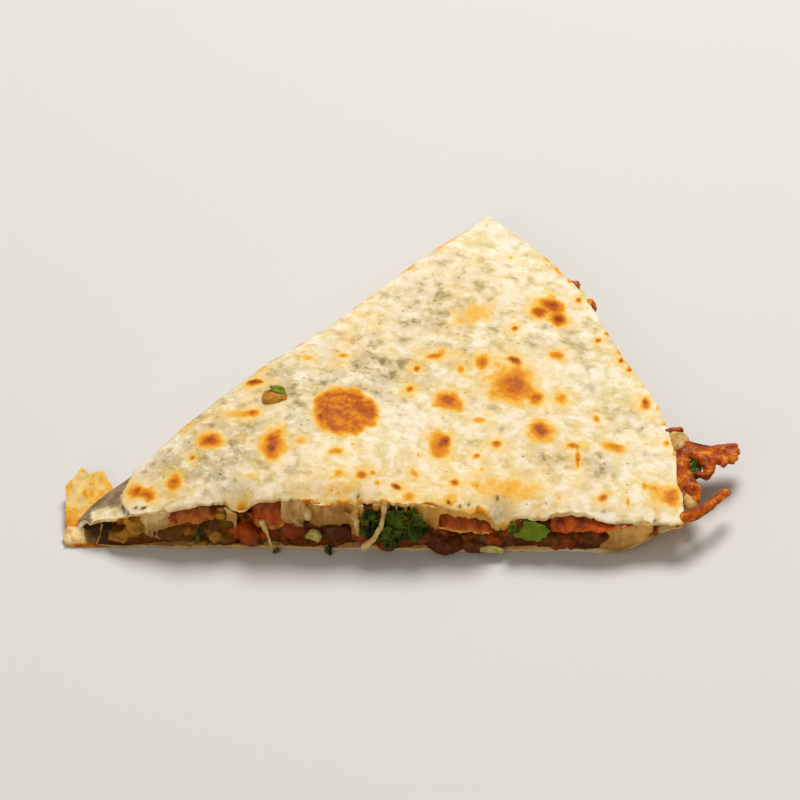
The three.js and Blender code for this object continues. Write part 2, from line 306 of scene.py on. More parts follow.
def face_outwards(mesh):
    shape = bmesh.new()
    shape.from_mesh(mesh)
    bmesh.ops.recalc_face_normals(shape, faces=shape.faces)
    shape.to_mesh(mesh)
    shape.free()
    mesh.update()


def mark(mesh, name, values):
    """Keeps a number for each point, for the finish to read."""
    layer = mesh.attributes.get(name) or mesh.attributes.new(name, "FLOAT", "POINT")
    values = np.broadcast_to(values, len(mesh.vertices))
    layer.data.foreach_set("value", np.ascontiguousarray(values, np.float32))


# %% [markdown]
# ## Noise
#
# Dough, meat and cheese are uneven at every size. Sums of noise at two or three sizes give that, and the seed
# only shifts where the noise is read, so each run gives the same slice.


# %% Noise read at many points
def rough(points, size, seed, octaves=2):
    """Noise from about -1 to 1 at each point, with waves about size millimetres long."""
    shift = Vector((seed * 13.7, seed * 7.1, seed * 3.3))
    return np.array([noise.fractal(Vector(p) / size + shift, 1.0, 2.0, octaves) for p in points])


# %% [markdown]
# ## Pieces
#
# A finished piece is moved into the frame's metres, rides on the slice's one body, and hides the solid
# that it stands for.


# %% Finished pieces
made_pieces = {}


def piece(name, mesh, slot, *nodes):
    mesh.transform(TO_FRAME)
    mesh.shade_smooth()
    made = placed(name, mesh)
    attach(made, "root")
    if nodes:
        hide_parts(*nodes)
    made_pieces[name] = made
    triangles = sum(len(face.vertices) - 2 for face in mesh.polygons)
    print(f"{name}: {triangles} triangles, stands for {', '.join(nodes) or 'nothing'}")


# %% [markdown]
# ## Where the dough browned
#
# The dough touches the pan where the filling presses it down and where steam blows a blister, so the spots
# are round, soft at the edge and darkest in the middle. The ones that give this slice its face are listed:
# place, half-axes, turn, how brown the spot is and how much darker its heart. The brownness is worked
# out at every point of the mesh and kept as an attribute, and the finish turns it into colour.

# %% Browned spots on the upper layer
SPOTS = [
    # x, y, half-axis along X, half-axis along Y, turn in degrees, brownness, extra in the heart
    (91.2, 37.7, 5.4, 5.4, -20, 0.45, 0.07),  # the wide diffuse blister
    (85, 43.6, 1.7, 2.4, 0, 0.45, 0.05), (96.2, 33.6, 2.2, 2.4, 0, 0.37, 0.03),
    (91.6, 44.8, 2, 1.1, -25, 0.6, 0.05), (78.2, 32.3, 3.4, 3.3, 0, 0.46, 0.11),
    (97.2, 23.6, 2.9, 3.8, 0, 0.43, 0.23), (76.5, 19.1, 2.7, 4.8, 0, 0.43, 0.07),
    (77.7, 21.3, 1.2, 1.9, 0, 0.58, 0.17), (42.6, 15.6, 3.1, 5.4, 0, 0.41, 0.06),
    (42.3, 14.8, 1.5, 3.2, 0, 0.36, 0.12), (29.6, 17.6, 3.2, 2.9, 0, 0.42, 0.1),
    (29.2, 17.9, 2.0, 1.6, 0, 0.3, 0.25), (26.0, 13.3, 0.8, 0.9, 0, 0.35, 0.1),
    (34.6, 25.4, 3.2, 1.3, 5, 0.29, 0), (38, 25.4, 1.6, 1.6, 0, 0.45, 0.12),
    (22.2, 7.6, 1.7, 2.3, 0, 0.43, 0.15), (14.7, 7, 1.8, 2.3, 0, 0.45, 0.12),
    (17.1, 5.4, 1.9, 2.2, 0, 0.45, 0.1), (36.1, 0.6, 1.7, 1.8, 0, 0.45, 0.16),
    (38.6, 34.9, 2.2, 1, -8, 0.7, 0), (48.9, 43.4, 1.6, 1.6, 0, 0.27, 0), (56.5, 45.4, 1.4, 1, 15, 0.37, 0),
    (55.2, 13.6, 2.1, 1.2, 0, 0.35, 0.04), (56.0, 3.4, 4.4, 3.6, 0, 0.15, 0),
    (56.0, 7.0, 1.2, 1.5, 0, 0.24, 0.05), (48.1, 16.7, 1.6, 1.4, 0, 0.21, 0),
    (98.7, 62.6, 5.0, 5.4, 0, 0.24, 0), (99.3, 64.8, 2.4, 3.1, 0, 0.5, 0.15),
    (100.6, 60.4, 1.8, 2.4, 0, 0.5, 0.15), (96.5, 61.3, 1.6, 2, 0, 0.47, 0.07),
    (91.6, 54.4, 0.9, 1.1, 0, 0.58, 0.05), (75.1, 46.2, 2.3, 1.2, 5, 0.45, 0.05),
    (71.6, 42.5, 1, 1.2, 0, 0.53, 0.1), (80.6, 41.5, 0.9, 1.5, 0, 0.37, 0),
    (100.3, 47.6, 1.7, 1.3, 0, 0.45, 0.06), (70.3, 35.6, 1.1, 1.5, 0, 0.44, 0.05),
    (101.6, 33.9, 1.8, 2.5, 0, 0.3, 0.03), (118.9, 36.4, 1.1, 2.2, 10, 0.53, 0.07),
    (84.8, 27.7, 1.7, 1.1, 0, 0.33, 0.03), (108.8, 29.2, 0.9, 1.7, 0, 0.34, 0.03),
    (88.4, 20.3, 1.2, 1.4, 0, 0.54, 0.05), (84.2, 16.8, 0.8, 1, 0, 0.54, 0.05),
    (104.2, 20, 1.7, 1, 0, 0.5, 0.05), (105.1, 16.5, 0.6, 3.6, 0, 0.47, 0),
    (112.4, 21.3, 2.6, 1.9, 0, 0.37, 0.06), (123.2, 24.6, 0.9, 1.2, 0, 0.48, 0),
    (60.8, 7, 1.3, 1.4, 0, 0.48, 0.07), (63.1, 8, 0.7, 0.9, 0, 0.37, 0), (71.6, 10, 1.1, 2, 30, 0.27, 0),
    (67.9, 5.4, 1.4, 0.9, -30, 0.76, 0), (79.9, 7.7, 1.1, 1.4, 0, 0.5, 0.07),
    (89.5, 7.6, 10.8, 4.6, 0, 0.17, 0.02), (94.2, 6.8, 4.4, 3, 0, 0.06, 0), (70.6, 2.6, 1.5, 2, 0, 0.35, 0),
    (79.2, 2.4, 1.6, 2, 0, 0.29, 0), (110.5, 5.9, 1.1, 1.5, -30, 0.47, 0),
    (118.7, 11.1, 0.7, 1.4, 0, 0.37, 0), (115.5, 5.8, 0.6, 1.4, 0, 0.33, 0),
    (123.4, 9.0, 4.2, 4.4, 0, 0.26, 0), (124.4, 8.0, 2.0, 2.6, 0, 0.3, 0.03),
    (108.8, 55.5, 0.7, 0.7, 0, 0.64, 0), (113.7, 49.6, 0.7, 1, 0, 0.68, 0),
    (115.5, 46.8, 0.7, 0.8, 0, 0.68, 0), (104.7, 67.9, 0.8, 0.9, 0, 0.6, 0),
    (83.3, 59.2, 5.5, 3.9, 20, 0.19, 0),
]
BURNT_SPECKS = [
    # x, y
    *[(60.1, 2.3), (78.7, 1.9), (81.1, 1.3), (82.9, 1.9), (84.6, 1.4), (88.6, 5.2), (110.6, 2.4)],
    *[(121.2, 1.8), (14.5, 2.7), (15.9, 2.2), (16.4, 2.4)],
]
SPECK_RADIUS = 0.4
SPECK_GAIN = 1.5  # widens the black heart of a speck
FLAT_SPOTS = [
    (57.2, 25.8, 7.3, 7.8, 0, 0.49, 0.02),  # the large disc
    (53.2, 22.8, 2.6, 3.6, 0, 0.09, 0), (61.0, 28.0, 1.8, 4.2, 0, 0.1, 0),
    (56.6, 30.6, 3.6, 1.4, 0, 0.08, 0),
]
SOFT_EDGE = 0.75  # share of its radius over which a spot fades
FLAT_EDGE = 0.27
HALO = 1.9  # how far the dough is golden beyond a spot, mm
BLISTER = 0.35  # height of the blister under a spot, for each unit of brownness


def brownness(x, y, wobble, spots, edge=SOFT_EDGE):
    """How brown each point is, how golden the dough round a spot is, and how high its blister stands."""
    toast, halo, swell = np.zeros_like(x), np.zeros_like(x), np.zeros_like(x)
    for at_x, at_y, half_x, half_y, turn, brown, heart in spots:
        c, s = math.cos(math.radians(turn)), math.sin(math.radians(turn))
        along, across = (x - at_x) * c + (y - at_y) * s, (y - at_y) * c - (x - at_x) * s
        reach = np.hypot(along / half_x, across / half_y)
        uneven = reach * (1 + 0.45 * edge * wobble)
        spot = brown * (1 - smoothstep(uneven, 1 - edge, 1 + 0.45 * edge))
        spot = spot + heart * (1 - smoothstep(uneven, 0.05, 0.6))
        toast = 1 - (1 - toast) * (1 - spot)
        beyond = np.maximum(0, uneven - 0.7) * min(half_x, half_y)
        halo = np.maximum(halo, min(1, 2 * brown, half_x) * np.exp(-((beyond / HALO) ** 2)))
        swell = np.maximum(swell, brown * (1 - smoothstep(reach, 0.5, 1.15)) * min(1, half_x / 3))
    return toast, halo, swell


def specks_at(x, y):
    specks = [bell(np.hypot(x - at_x, y - at_y), 0, SPECK_RADIUS) for at_x, at_y in BURNT_SPECKS]
    return np.minimum(1, SPECK_GAIN * np.max(specks, axis=0))


print(len(SPOTS) + len(FLAT_SPOTS), "spots and", len(BURNT_SPECKS), "burnt specks on the upper layer")


# %% Random browning
def scattered_spots(seed, count, low, high, size, brown):
    """Spots at seeded random places in a rectangle, a few large and many small."""
    rng = random.Random(seed)
    spots = []
    for _ in range(count):
        half = lerp(size[0], size[1], rng.random() ** 3)
        place = (rng.uniform(low[0], high[0]), rng.uniform(low[1], high[1]))
        shape = (half * rng.uniform(0.8, 1.25), half * rng.uniform(0.8, 1.25), rng.uniform(0, 90))
        spots.append((*place, *shape, rng.uniform(*brown), rng.uniform(0, 0.5 * brown[1])))
    return spots


FAINT_SPOTS = scattered_spots(9, 70, (20, 4), (124, 88), (0.5, 1.5), (0.1, 0.26))
UNDER_SPOTS = scattered_spots(4, 90, (5, 2), (125, 92), (1.2, 8.5), (0.3, 0.62))
print(len(UNDER_SPOTS), "spots on the lower layer")

# %% [markdown]
# ## Damp patches
#
# Flour tortilla isn't one white. Where it is thin and damp it turns translucent, in small grey-olive
# mottles between floury ones, mostly near the point and along the fold. Each patch is a soft round region
# here, and the finish breaks it up with noise.

# %% Damp patches and golden stains
DAMP_PATCHES = [
    # x, y, radius, strength
    (27, 12, 12, 1.0), (37, 16, 9, 1.0), (31, 24, 9, 0.8), (44, 34, 9, 0.9), (62, 42, 11, 1.0),
    (72, 42, 8, 0.9), (46, 22, 5, 0.6), (52, 33, 6, 0.7), (78, 58, 13, 0.7), (93, 30, 5, 0.3),
    (99, 17, 4, 0.9), (109, 15, 4, 0.9), (101, 53, 8, 0.5), (86, 21, 5, 0.3), (112, 32, 6, 0.3),
    (68, 36, 6, 0.7),
]
GOLDEN_PATCHES = [
    (50, 2, 8, 0.8), (58, 3, 9, 1.0), (66, 6, 10, 0.6), (76, 3, 9, 0.9), (84, 1, 7, 1.0), (91, 7, 12, 0.8),
    (40, 1, 5, 0.6), (95, 38, 10, 0.4), (62, 54, 9, 0.5), (80, 66, 12, 0.5), (92, 66, 8, 0.4),
    (124, 9, 5, 1.0), (14, 7, 5, 0.5), (38, 28, 8, 0.4), (42, 4, 8, 0.3), (24, 2, 6, 0.4),
]


def patches_at(x, y, patches):
    total = np.zeros_like(x)
    for at_x, at_y, radius, strength in patches:
        total = np.maximum(total, strength * np.exp(-(((x - at_x) ** 2 + (y - at_y) ** 2) / radius**2)))
    return total


print(len(DAMP_PATCHES), "damp patches,", len(GOLDEN_PATCHES), "golden ones")

# %% [markdown]
# ## The folded tortilla
#
# The upper layer, the fold and the lower layer are one sheet, so they are one block: u runs from the point to
# the rim, v from the upper layer's cut edge round the fold to the lower layer's, and w through the dough. The
# upper layer gets most of the cells, because it is the face that is looked at.

# %% The sheet
UPPER_SHARE = 0.66
FOLD_SHARE = 0.12
LOWER_SHARE = 1 - UPPER_SHARE - FOLD_SHARE
THINNEST = 0.04
CUT_THIN = 0.42  # the knife pressed the dough to this share of its thickness
CUT_REACH = 5.0  # how far from the cut it gets its thickness back
CUT_ROUND = 0.5  # how far the upper layer's edge rounds over
TIP_SETBACK = 1.3  # how much further back that edge is at the broken tip
TIP_SETBACK_ENDS = (12, 15.5)
EDGE_MOST = 0.4  # the furthest back it may be, as a share of the width
RIM_TUCK = 1.3  # how far the lower layer is tucked in at the rim
SHEET_CELLS = (204, 200)
WALL_ROWS = 3


def ripple(r):
    return 0.35 * np.sin(r / 2.3) + 0.3 * np.sin(r / 5.1 + 1)


def ragged(r, seed):
    """Small tears along a cut edge."""
    return 0.6 * rough(xyz(r, 0, 0), 1.5, seed, 4)


def pressed_sheet(r, f):
    """Thickness of the dough, pressed thin along the cut."""
    return sheet_at(r) * lerp(CUT_THIN, 1, smoothstep(f * width_at(r), 0, CUT_REACH))


def folded_sheet(u, v, w):
    upper = v <= UPPER_SHARE
    lower = v >= UPPER_SHARE + FOLD_SHARE
    to_cut = np.where(upper, v / UPPER_SHARE, np.minimum(1, (1 - v) / LOWER_SHARE))
    start = lerp(POINT_TOP, POINT_BOTTOM, smoothstep(v, UPPER_SHARE, UPPER_SHARE + FOLD_SHARE))
    r = lerp(start, rim_at(to_cut), u)
    width = width_at(r)
    depth = fold_depth(r)
    bend = 1 - depth / width
    wall = (1 - w) * sheet_at(r)
    # the two layers
    edge = TOP_SETBACK + TIP_SETBACK * (1 - smoothstep(r, *TIP_SETBACK_ENDS)) + ripple(r) + ragged(r, 3)
    low_edge = RIM_TUCK * smoothstep(r, 117, 125) + 0.4 * (ripple(r) + ragged(r, 8))
    edge = np.where(upper, np.minimum(edge, EDGE_MOST * width), low_edge)
    f = lerp(edge / width, bend, to_cut)
    low = underside(r, f)
    middle = (low + upperside(r, f) - sag_at(r, f)) / 2
    half = np.maximum(THINNEST, middle - low - (1 - w) * pressed_sheet(r, f))
    rounded = CUT_ROUND * w * (1 - smoothstep(f * width, 0, 2.4 * CUT_ROUND))
    layers = on_slice(r, f, np.where(upper, middle + half - rounded, middle - half))
    # the round of the fold
    turn = math.pi * (v - UPPER_SHARE) / FOLD_SHARE
    low = underside(r, bend)
    middle = (low + upperside(r, bend)) / 2
    reach = np.maximum(2 * THINNEST, depth - wall)
    rise = np.maximum(THINNEST, middle - low - wall)
    fold = on_slice(r, bend + reach * np.sin(turn) / width, middle + rise * np.cos(turn))
    return np.where((upper | lower)[:, None], layers, fold)


tortilla_mesh, (u, v, w) = block("tortilla_sheet", *SHEET_CELLS, WALL_ROWS, folded_sheet)
print("sheet:", len(tortilla_mesh.vertices), "points")

# %% The broken tip
TIP_CRACK = [(13.4, 1.0), (11.2, 4.9), (13.1, 9.2), (14.4, 15.0)]  # the dough broke here, from cut to fold
TIP_SEAM = [(5.3, 0.5), (6.0, 4.3), (11.1, 4.9)]  # between the pale ledge and the damp skin beside the fold
TIP_DROP = 0.8  # how far the broken part sank
CRACK_WIDTH = 0.36
CRACK_FADES = (4.9, 6.2)  # how far back the crack stays dark
SKIN_BULGE = 1.7  # how far the damp skin swells out beside the tip


def tip_regions(x, y):
    """Three shares: how far a point is on the ledge, on the damp skin, and in the crack."""
    crack = np.interp(y, [p[1] for p in TIP_CRACK], [p[0] for p in TIP_CRACK])
    broken = 1 - smoothstep(x, crack - 0.35, crack)
    seam = np.interp(x, [p[0] for p in TIP_SEAM], [p[1] for p in TIP_SEAM])
    above = smoothstep(y, seam - 0.3, seam + 0.3)
    # dark: painted shade in the crack, fading towards the fold
    dark = bell(x, crack, CRACK_WIDTH) * (1 - smoothstep(y, *CRACK_FADES))
    return broken * (1 - above), broken * above, dark


# %% Browning and relief of the sheet
FOLD_MIDDLE = UPPER_SHARE + FOLD_SHARE / 2


def dress_sheet(mesh, u, v, w):
    points, normals = points_of(mesh), vectors_of(mesh, "normal")
    x, y = points[:, 0], points[:, 1]
    r = np.hypot(x, y)
    wobble = rough(points, 2.6, 1, 3)
    upper = 1 - smoothstep(v, FOLD_MIDDLE - 0.03, FOLD_MIDDLE + 0.03)
    lower = smoothstep(v, UPPER_SHARE + FOLD_SHARE - 0.01, UPPER_SHARE + FOLD_SHARE + 0.02)
    top = brownness(x, y, wobble, SPOTS + FAINT_SPOTS)
    flat_toast, flat_halo, flat_swell = brownness(x, y, wobble, FLAT_SPOTS, FLAT_EDGE)
    flat = (flat_toast * (1 + 0.32 * rough(points, 1.5, 17, 3)), flat_halo, flat_swell)
    top_toast, top_halo, top_swell = (np.maximum(*pair) for pair in zip(top, flat))
    low_toast, low_halo, _ = brownness(x, y, wobble, UNDER_SPOTS)
    fold_toast = 0.5 * smoothstep(rough(points, 7, 12, 3), 0.1, 0.5)
    flank = smoothstep(v, UPPER_SHARE, FOLD_MIDDLE) * (1 - lower)
    outer = smoothstep(w, 0.6, 1)
    toast = outer * (top_toast * upper + low_toast * lower + fold_toast * flank)
    cut_edge = (1 - smoothstep(v, 0.002, 0.02)) * smoothstep(rough(points, 4, 6, 3), -0.3, 0.4)
    toasted = 0.42 + 0.16 * smoothstep(r, 42, 47) * (1 - smoothstep(r, 60, 66))
    toast = np.maximum(toast, toasted * cut_edge * smoothstep(r, 34, 44) * (1 - smoothstep(r, 86, 100)))
    rim_edge = smoothstep(u, 0.984, 1) * smoothstep(rough(points, 2.2, 16, 2), 0.1, 0.6)
    toast = np.maximum(toast, 0.4 * rim_edge)
    crust = (1 - smoothstep(v, 0.006, 0.034)) * smoothstep(rough(points, 1.6, 18, 3), -0.5, 0.3)
    toast = np.maximum(toast, 0.2 * crust * smoothstep(r, 74, 77) * (1 - smoothstep(r, 86, 89)))
    singed = 0.1 + 0.7 * smoothstep(rough(points, 1.3, 19, 3), -0.1, 0.4)
    toast = np.maximum(toast, (v > 0.9) * smoothstep(r, 117, 120) * singed)
    # the damp skin beside the fold is see-through damp dough, its grey-brown deepened with painted shade
    ledge, membrane_and_shade, crack = tip_regions(x, y)
    on_top = 1 - smoothstep(v, FOLD_MIDDLE, UPPER_SHARE + FOLD_SHARE)
    membrane_and_shade = membrane_and_shade * on_top * outer
    ledge_front = ledge * on_top * (1 - smoothstep(v, 0.02, 0.06)) * smoothstep(r, 7, 11)
    toast = np.maximum(toast, 0.26 * ledge_front) * (1 - membrane_and_shade)
    mark(mesh, "toast", toast)
    mark(mesh, "halo", outer * (1 - membrane_and_shade) * (top_halo * upper + low_halo * lower))
    mark(mesh, "damp", outer * np.maximum(patches_at(x, y, DAMP_PATCHES) * upper, 0.5 * (1 - upper)))
    mark(mesh, "golden", outer * np.maximum(patches_at(x, y, GOLDEN_PATCHES) * upper, 0.4 * (1 - upper)))
    greasy = (w < 0.1) * smoothstep(r, 13, 17) * (1 - 0.6 * smoothstep(r, 94, 100))
    low_edge = lower * (1 - smoothstep(w, 0.5, 0.95)) * smoothstep(rough(points, 6, 14, 2), -0.4, 0.5)
    cheesy = (v > 0.985) * smoothstep(r, 109, 112) * (1 - smoothstep(r, 119, 121))
    low_wall = (v > 0.99) * (1 - 0.5 * smoothstep(r, 34, 60)) * smoothstep(r, 2, 5)
    stain = np.maximum(greasy, np.maximum(0.6 * low_edge * smoothstep(r, 7, 9), 0.8 * low_wall))
    mark(mesh, "stain", np.maximum(stain, cheesy))
    # at_tip and walls feed the crumb mark: the dough's creamy inside, lightened further with painted light
    # where the cut walls and the point lie in shade
    at_tip = (w < 0.9) * (1 - smoothstep(r, 4, 5))
    # painted shade on the inner faces of the hollow behind the point
    shade_and_specks = (w < 0.1) * smoothstep(r, 4, 5) * (1 - smoothstep(r, 13, 17))
    walls = (w > 0.1) * (1 - smoothstep(v, 0, 0.004)) + 0.5 * lower * (v > 0.999) * (w > 0.4) * (r > 60)
    mark(mesh, "crumb", np.maximum(walls, at_tip) * (1 - cheesy))
    # skin: damp dough darkened further with painted shade
    mark(mesh, "skin", membrane_and_shade)
    # painted shade in the crack at the broken tip, together with the real burnt specks
    dark = np.maximum(crack, specks_at(x, y)) * upper * outer
    mark(mesh, "shade_and_specks", np.maximum(shade_and_specks, dark))
    # waves move both faces of the dough, blisters and pits only the outer one
    side = np.where(w > 0.5, 1.0, -1.0)
    calm = smoothstep(r, 6, 20) * (1 - 0.5 * smoothstep(r, 110, 122))
    wave = calm * (0.28 * rough(points, 11, 21) + 0.16 * rough(points, 4.2, 22))
    skin = outer * (BLISTER * top_swell * upper + 0.07 * rough(points, 1.7, 23, 3) * (1 - 0.5 * lower))
    lifted = (side * wave + skin) * (1 - lower) + lower * (skin - 0.1)
    points = points + normals * lifted[:, None]
    points[:, 2] -= TIP_DROP * (ledge + membrane_and_shade) * on_top * smoothstep(r, 4, 8)
    swollen = SKIN_BULGE * bell(r, 10, 7) * smoothstep(v, UPPER_SHARE - 0.05, FOLD_MIDDLE) * (1 - lower)
    points[:, 0] -= swollen * math.sin(SLICE_ANGLE)
    points[:, 1] += swollen * math.cos(SLICE_ANGLE)
    points[:, 2] = np.maximum(points[:, 2], 0.0)
    move_points(mesh, points)
    return toast


toast = dress_sheet(tortilla_mesh, u, v, w)
print("browned share of the points:", round(float(np.mean(toast > 0.3)), 3))
piece("tortilla_sheet", tortilla_mesh, "tortilla", "tortilla")

# %% [markdown]
# ## The torn scrap and the bits that stuck
#
# At the point a flap of the lower layer tore off, stands up beside the fold and fried golden. It is a small
# block between a left and a right edge that both wander. In front of it both layers are pressed together
# into a blunt nose. A bit of garnish sits on top, and two crumbs of fried cheese and a sliver of the lower
# layer show at the rim.

# %% The torn scrap
SCRAP_LEFT = [(-0.6, 1.8), (3.6, 4.0), (10.6, 11.6)]  # out from the fold, along it
SCRAP_RIGHT = [(-0.6, 16.3), (4.8, 18.2), (7.3, 19.3), (8.7, 16.1), (11.3, 16.3)]
SCRAP_BOTTOM = -0.6
SCRAP_TOP = (9.7, 10.5)
SCRAP_THICKNESS = 1.0
SCRAP_LIFT = 0.28


def torn_scrap(u, v, w):
    top = lerp(*SCRAP_TOP, u)
    line = xyz(9 * u, 9 * v, 0)
    top = top - 0.4 * bell(u, 0.4, 0.13) + 0.3 * rough(line, 1.6, 31, 3)
    out = lerp(SCRAP_BOTTOM, top, v)
    left = np.interp(out, *zip(*SCRAP_LEFT)) + 0.3 * rough(line, 1.3, 32, 3)
    right = np.interp(out, *zip(*SCRAP_RIGHT)) + 0.3 * rough(line, 1.3, 33, 3)
    along = lerp(left, right, u)
    curl = 0.5 * rough(line, 4.0, 34, 2) * smoothstep(out, 0, 4)
    z = 0.1 + SCRAP_LIFT * np.maximum(0, out) + SCRAP_THICKNESS * w + curl
    c, s = math.cos(SLICE_ANGLE), math.sin(SLICE_ANGLE)
    return xyz(along * c - out * s, along * s + out * c, np.maximum(z, 0))


scrap_mesh, (u, v, w) = block("torn_scrap", 60, 46, 3, torn_scrap)
speckle = rough(points_of(scrap_mesh), 2.4, 35, 3)
orange = (1 - smoothstep(u, 0.0, 0.35)) * (1 - smoothstep(v, 0.3, 0.8))
mark(scrap_mesh, "toast", 0.06 + 0.22 * smoothstep(speckle, -0.3, 0.7) + 0.32 * orange)
mark(scrap_mesh, "halo", 0.8)
mark(scrap_mesh, "golden", 0.7)
mark(scrap_mesh, "damp", 0.8 + 0.2 * (1 - smoothstep(u, 0.2, 0.6)) * smoothstep(v, 0.4, 0.8))
push_out(scrap_mesh, 0.12 * speckle)
piece("torn_scrap", scrap_mesh, "tortilla")

# %% The slice's nose
NOSE_ENDS = (-0.4, 4.4)
NOSE_FOOT = 5.0  # how much further its foot runs on under the hollow
NOSE_DEPTH = 4.0
NOSE_FRONT = -0.1
NOSE_HEIGHTS = (1.2, 2.9)  # of its top at the front and at the back


def nose(u, v, w):
    """The blunt point, where both layers are pressed together and slope to the front."""
    half = NOSE_DEPTH / 2 * np.sqrt(1 - (1 - np.minimum(1, 3 * u + 0.02)) ** 2)
    x = lerp(NOSE_ENDS[0], NOSE_ENDS[1] - 0.8 * v + NOSE_FOOT * (1 - w) ** 2, u)
    y = NOSE_FRONT + NOSE_DEPTH / 2 + (2 * v - 1) * half
    bumps = 0.3 * rough(xyz(x, y, 0), 1.8, 36, 3)
    top = (lerp(*NOSE_HEIGHTS, v) + bumps) * lerp(0.6, 1, smoothstep(u, 0, 0.25))
    return xyz(x, y, lerp(0.03, top * (1 - 0.45 * np.abs(2 * v - 1) ** 8), w))


nose_mesh, (u, v, w) = block("tip_nose", 40, 26, 8, nose)
points = points_of(nose_mesh)
x, _, z = points.T
low_front = (1 - smoothstep(z, 0.5, 1.3)) * (1 - smoothstep(v, 0.1, 0.5))
freckles = 0.12 * smoothstep(rough(points, 1.1, 38, 3), -0.1, 0.5)
# crumb: the nose's creamy dough, lightened with painted light because it lies in shade, and less so on its
# browned foot
mark(nose_mesh, "crumb", 0.8 - 0.6 * low_front)
mark(nose_mesh, "golden", 0.8)
mark(nose_mesh, "toast", np.maximum(freckles, low_front * (0.25 + 0.3 * smoothstep(u, 0.1, 0.5))))
# painted shade at the nose's back, where it runs into the hollow
mark(nose_mesh, "shade_and_specks", 0.8 * smoothstep(x, 4.0, 5.0) * smoothstep(z, 0.3, 0.9))
piece("tip_nose", nose_mesh, "tortilla")


# %% Crumbs
def add_crumb(shape, layer, tone, seed, middle, size, turn, level=3, roughness=0.3):
    """A lumpy crumb: a ball pushed about by noise, stretched, turned and put in its place."""
    made = bmesh.ops.create_icosphere(shape, subdivisions=level, radius=1)["verts"]
    shift = Vector((seed * 9.1, seed * 4.3, seed * 2.9))
    lay = Matrix.Translation(middle) @ Matrix.Rotation(turn, 4, "Y") @ Matrix.Rotation(2.1 * turn, 4, "Z")
    lay = lay @ Matrix.Diagonal((size[0] / 2, size[1] / 2, size[2] / 2, 1))
    for corner in made:
        way = corner.co.copy()
        lump = noise.noise(way * 1.1 + shift) + 0.5 * noise.noise(way * 2.7 + shift)
        grain = 0.5 - noise.voronoi(way * 2.4 + shift)[0][0]
        corner.co = lay @ (way * (1 + roughness * lump + 0.5 * roughness * grain))
        corner[layer] = tone + 0.12 * lump


def crumb_mesh(name, crumbs):
    """One mesh of many crumbs, each given as the values of add_crumb."""
    shape = bmesh.new()
    layer = shape.verts.layers.float.new("tone")
    for crumb in crumbs:
        add_crumb(shape, layer, *crumb)
    return mesh_of(name, shape)


# %% Rods and melting
def add_ball(shape, middle, width):
    lay = Matrix.Translation(middle) @ Matrix.Scale(width / 2, 4)
    bmesh.ops.create_icosphere(shape, subdivisions=3, radius=1, matrix=lay)


def add_rod(shape, points, thick):
    """A rod through the points, with its thickness at each of them."""
    points = [Vector(p) for p in points]
    for start, end, low, high in zip(points, points[1:], thick, thick[1:]):
        way = end - start
        lay = Matrix.Translation((start + end) / 2) @ way.to_track_quat("Z", "Y").to_matrix().to_4x4()
        ends = {"radius1": low / 2, "radius2": high / 2, "depth": way.length}
        bmesh.ops.create_cone(shape, cap_ends=True, segments=10, matrix=lay, **ends)
        add_ball(shape, end, high)
    add_ball(shape, points[0], thick[0])


def melted(mesh, voxel, soften=4):
    """The mesh's lumps melted into one skin."""
    lump = placed(mesh.name + "_raw", mesh)
    skin = lump.modifiers.new("skin", "REMESH")
    skin.mode = "VOXEL"
    skin.voxel_size = voxel
    skin.adaptivity = 0
    ease = lump.modifiers.new("ease", "SMOOTH")
    ease.factor = 0.5
    ease.iterations = soften
    depsgraph = bpy.context.evaluated_depsgraph_get()
    finished = bpy.data.meshes.new_from_object(lump.evaluated_get(depsgraph))
    bpy.data.objects.remove(lump)
    return finished


# %% The bits that stuck
RIM_CRUMBS = [(127.2, 0.736, 2.2, 2.6, 1.6), (126.6, 0.667, 3.6, 2.2, 1.6)]
SLIVER_ENDS = (0.742, 0.662)  # a sliver of the lower layer reaches past the rim between two crumbs
SLIVER_OUT = (0.7, 1.5)
SLIVER_RISE = 0.2
SLIVER_THICKNESS = 0.7
GARNISH_AT = (52, 0.73)
GARNISH_SIZE = (5.6, 4.0, 2.0)


def seat_on_top(r, f, rise):
    return Vector(on_slice(r, f, upperside(r, f) + rise))


rim_bits = [
    (0.5, 60 + i, seat_on_top(r, f, -RIM_SHEET), size, 0.7 * i, 4, 0.4)
    for i, (r, f, *size) in enumerate(RIM_CRUMBS)
]
piece("rim_crumbs", crumb_mesh("rim_crumbs", rim_bits), "fried_cheese")


def rim_sliver(u, v, w):
    f = lerp(*SLIVER_ENDS, u)
    r = rim_at(f) + lerp(*SLIVER_OUT, v)
    return on_slice(r, f, RIM_LIFT * lerp(1, 0.5, f) + SLIVER_RISE + SLIVER_THICKNESS * w)


piece("rim_sliver", block("rim_sliver", 40, 4, 1, rim_sliver)[0], "tortilla")
garnish = [(-0.42, 71, seat_on_top(*GARNISH_AT, 0.1), GARNISH_SIZE, 0.1, 4, 0.2)]
piece("garnish_bit", crumb_mesh("garnish_bit", garnish), "meat")

# %% [markdown]
# ## The meat
#
# Minced meat fried in red sauce fills the lower half. A rough core runs right through the slice, and crumbs
# crowd its face at the cut. The large crumbs are the ones that show most, listed one by one, and the small
# ones fill the gaps between them at seeded random places. Four strips of meat hang over them like lips.

# %% The core of meat
FILLING_START = 10
FILLING_END = 120
LAYER_GAP = 0.45
MEAT_FACE = 0.9  # how far behind the cut the core of meat begins
CHEESE_FACE = 2.4  # and the slab of cheese
HIDDEN_FACE = 0.8  # how much further back the slab is where meat hides it
CUT_CROWDING = 1.6  # the cells crowd towards the cut by this power
CORE_CELLS = (150, 34, 8)
SLAB_CELLS = (150, 30, 5)


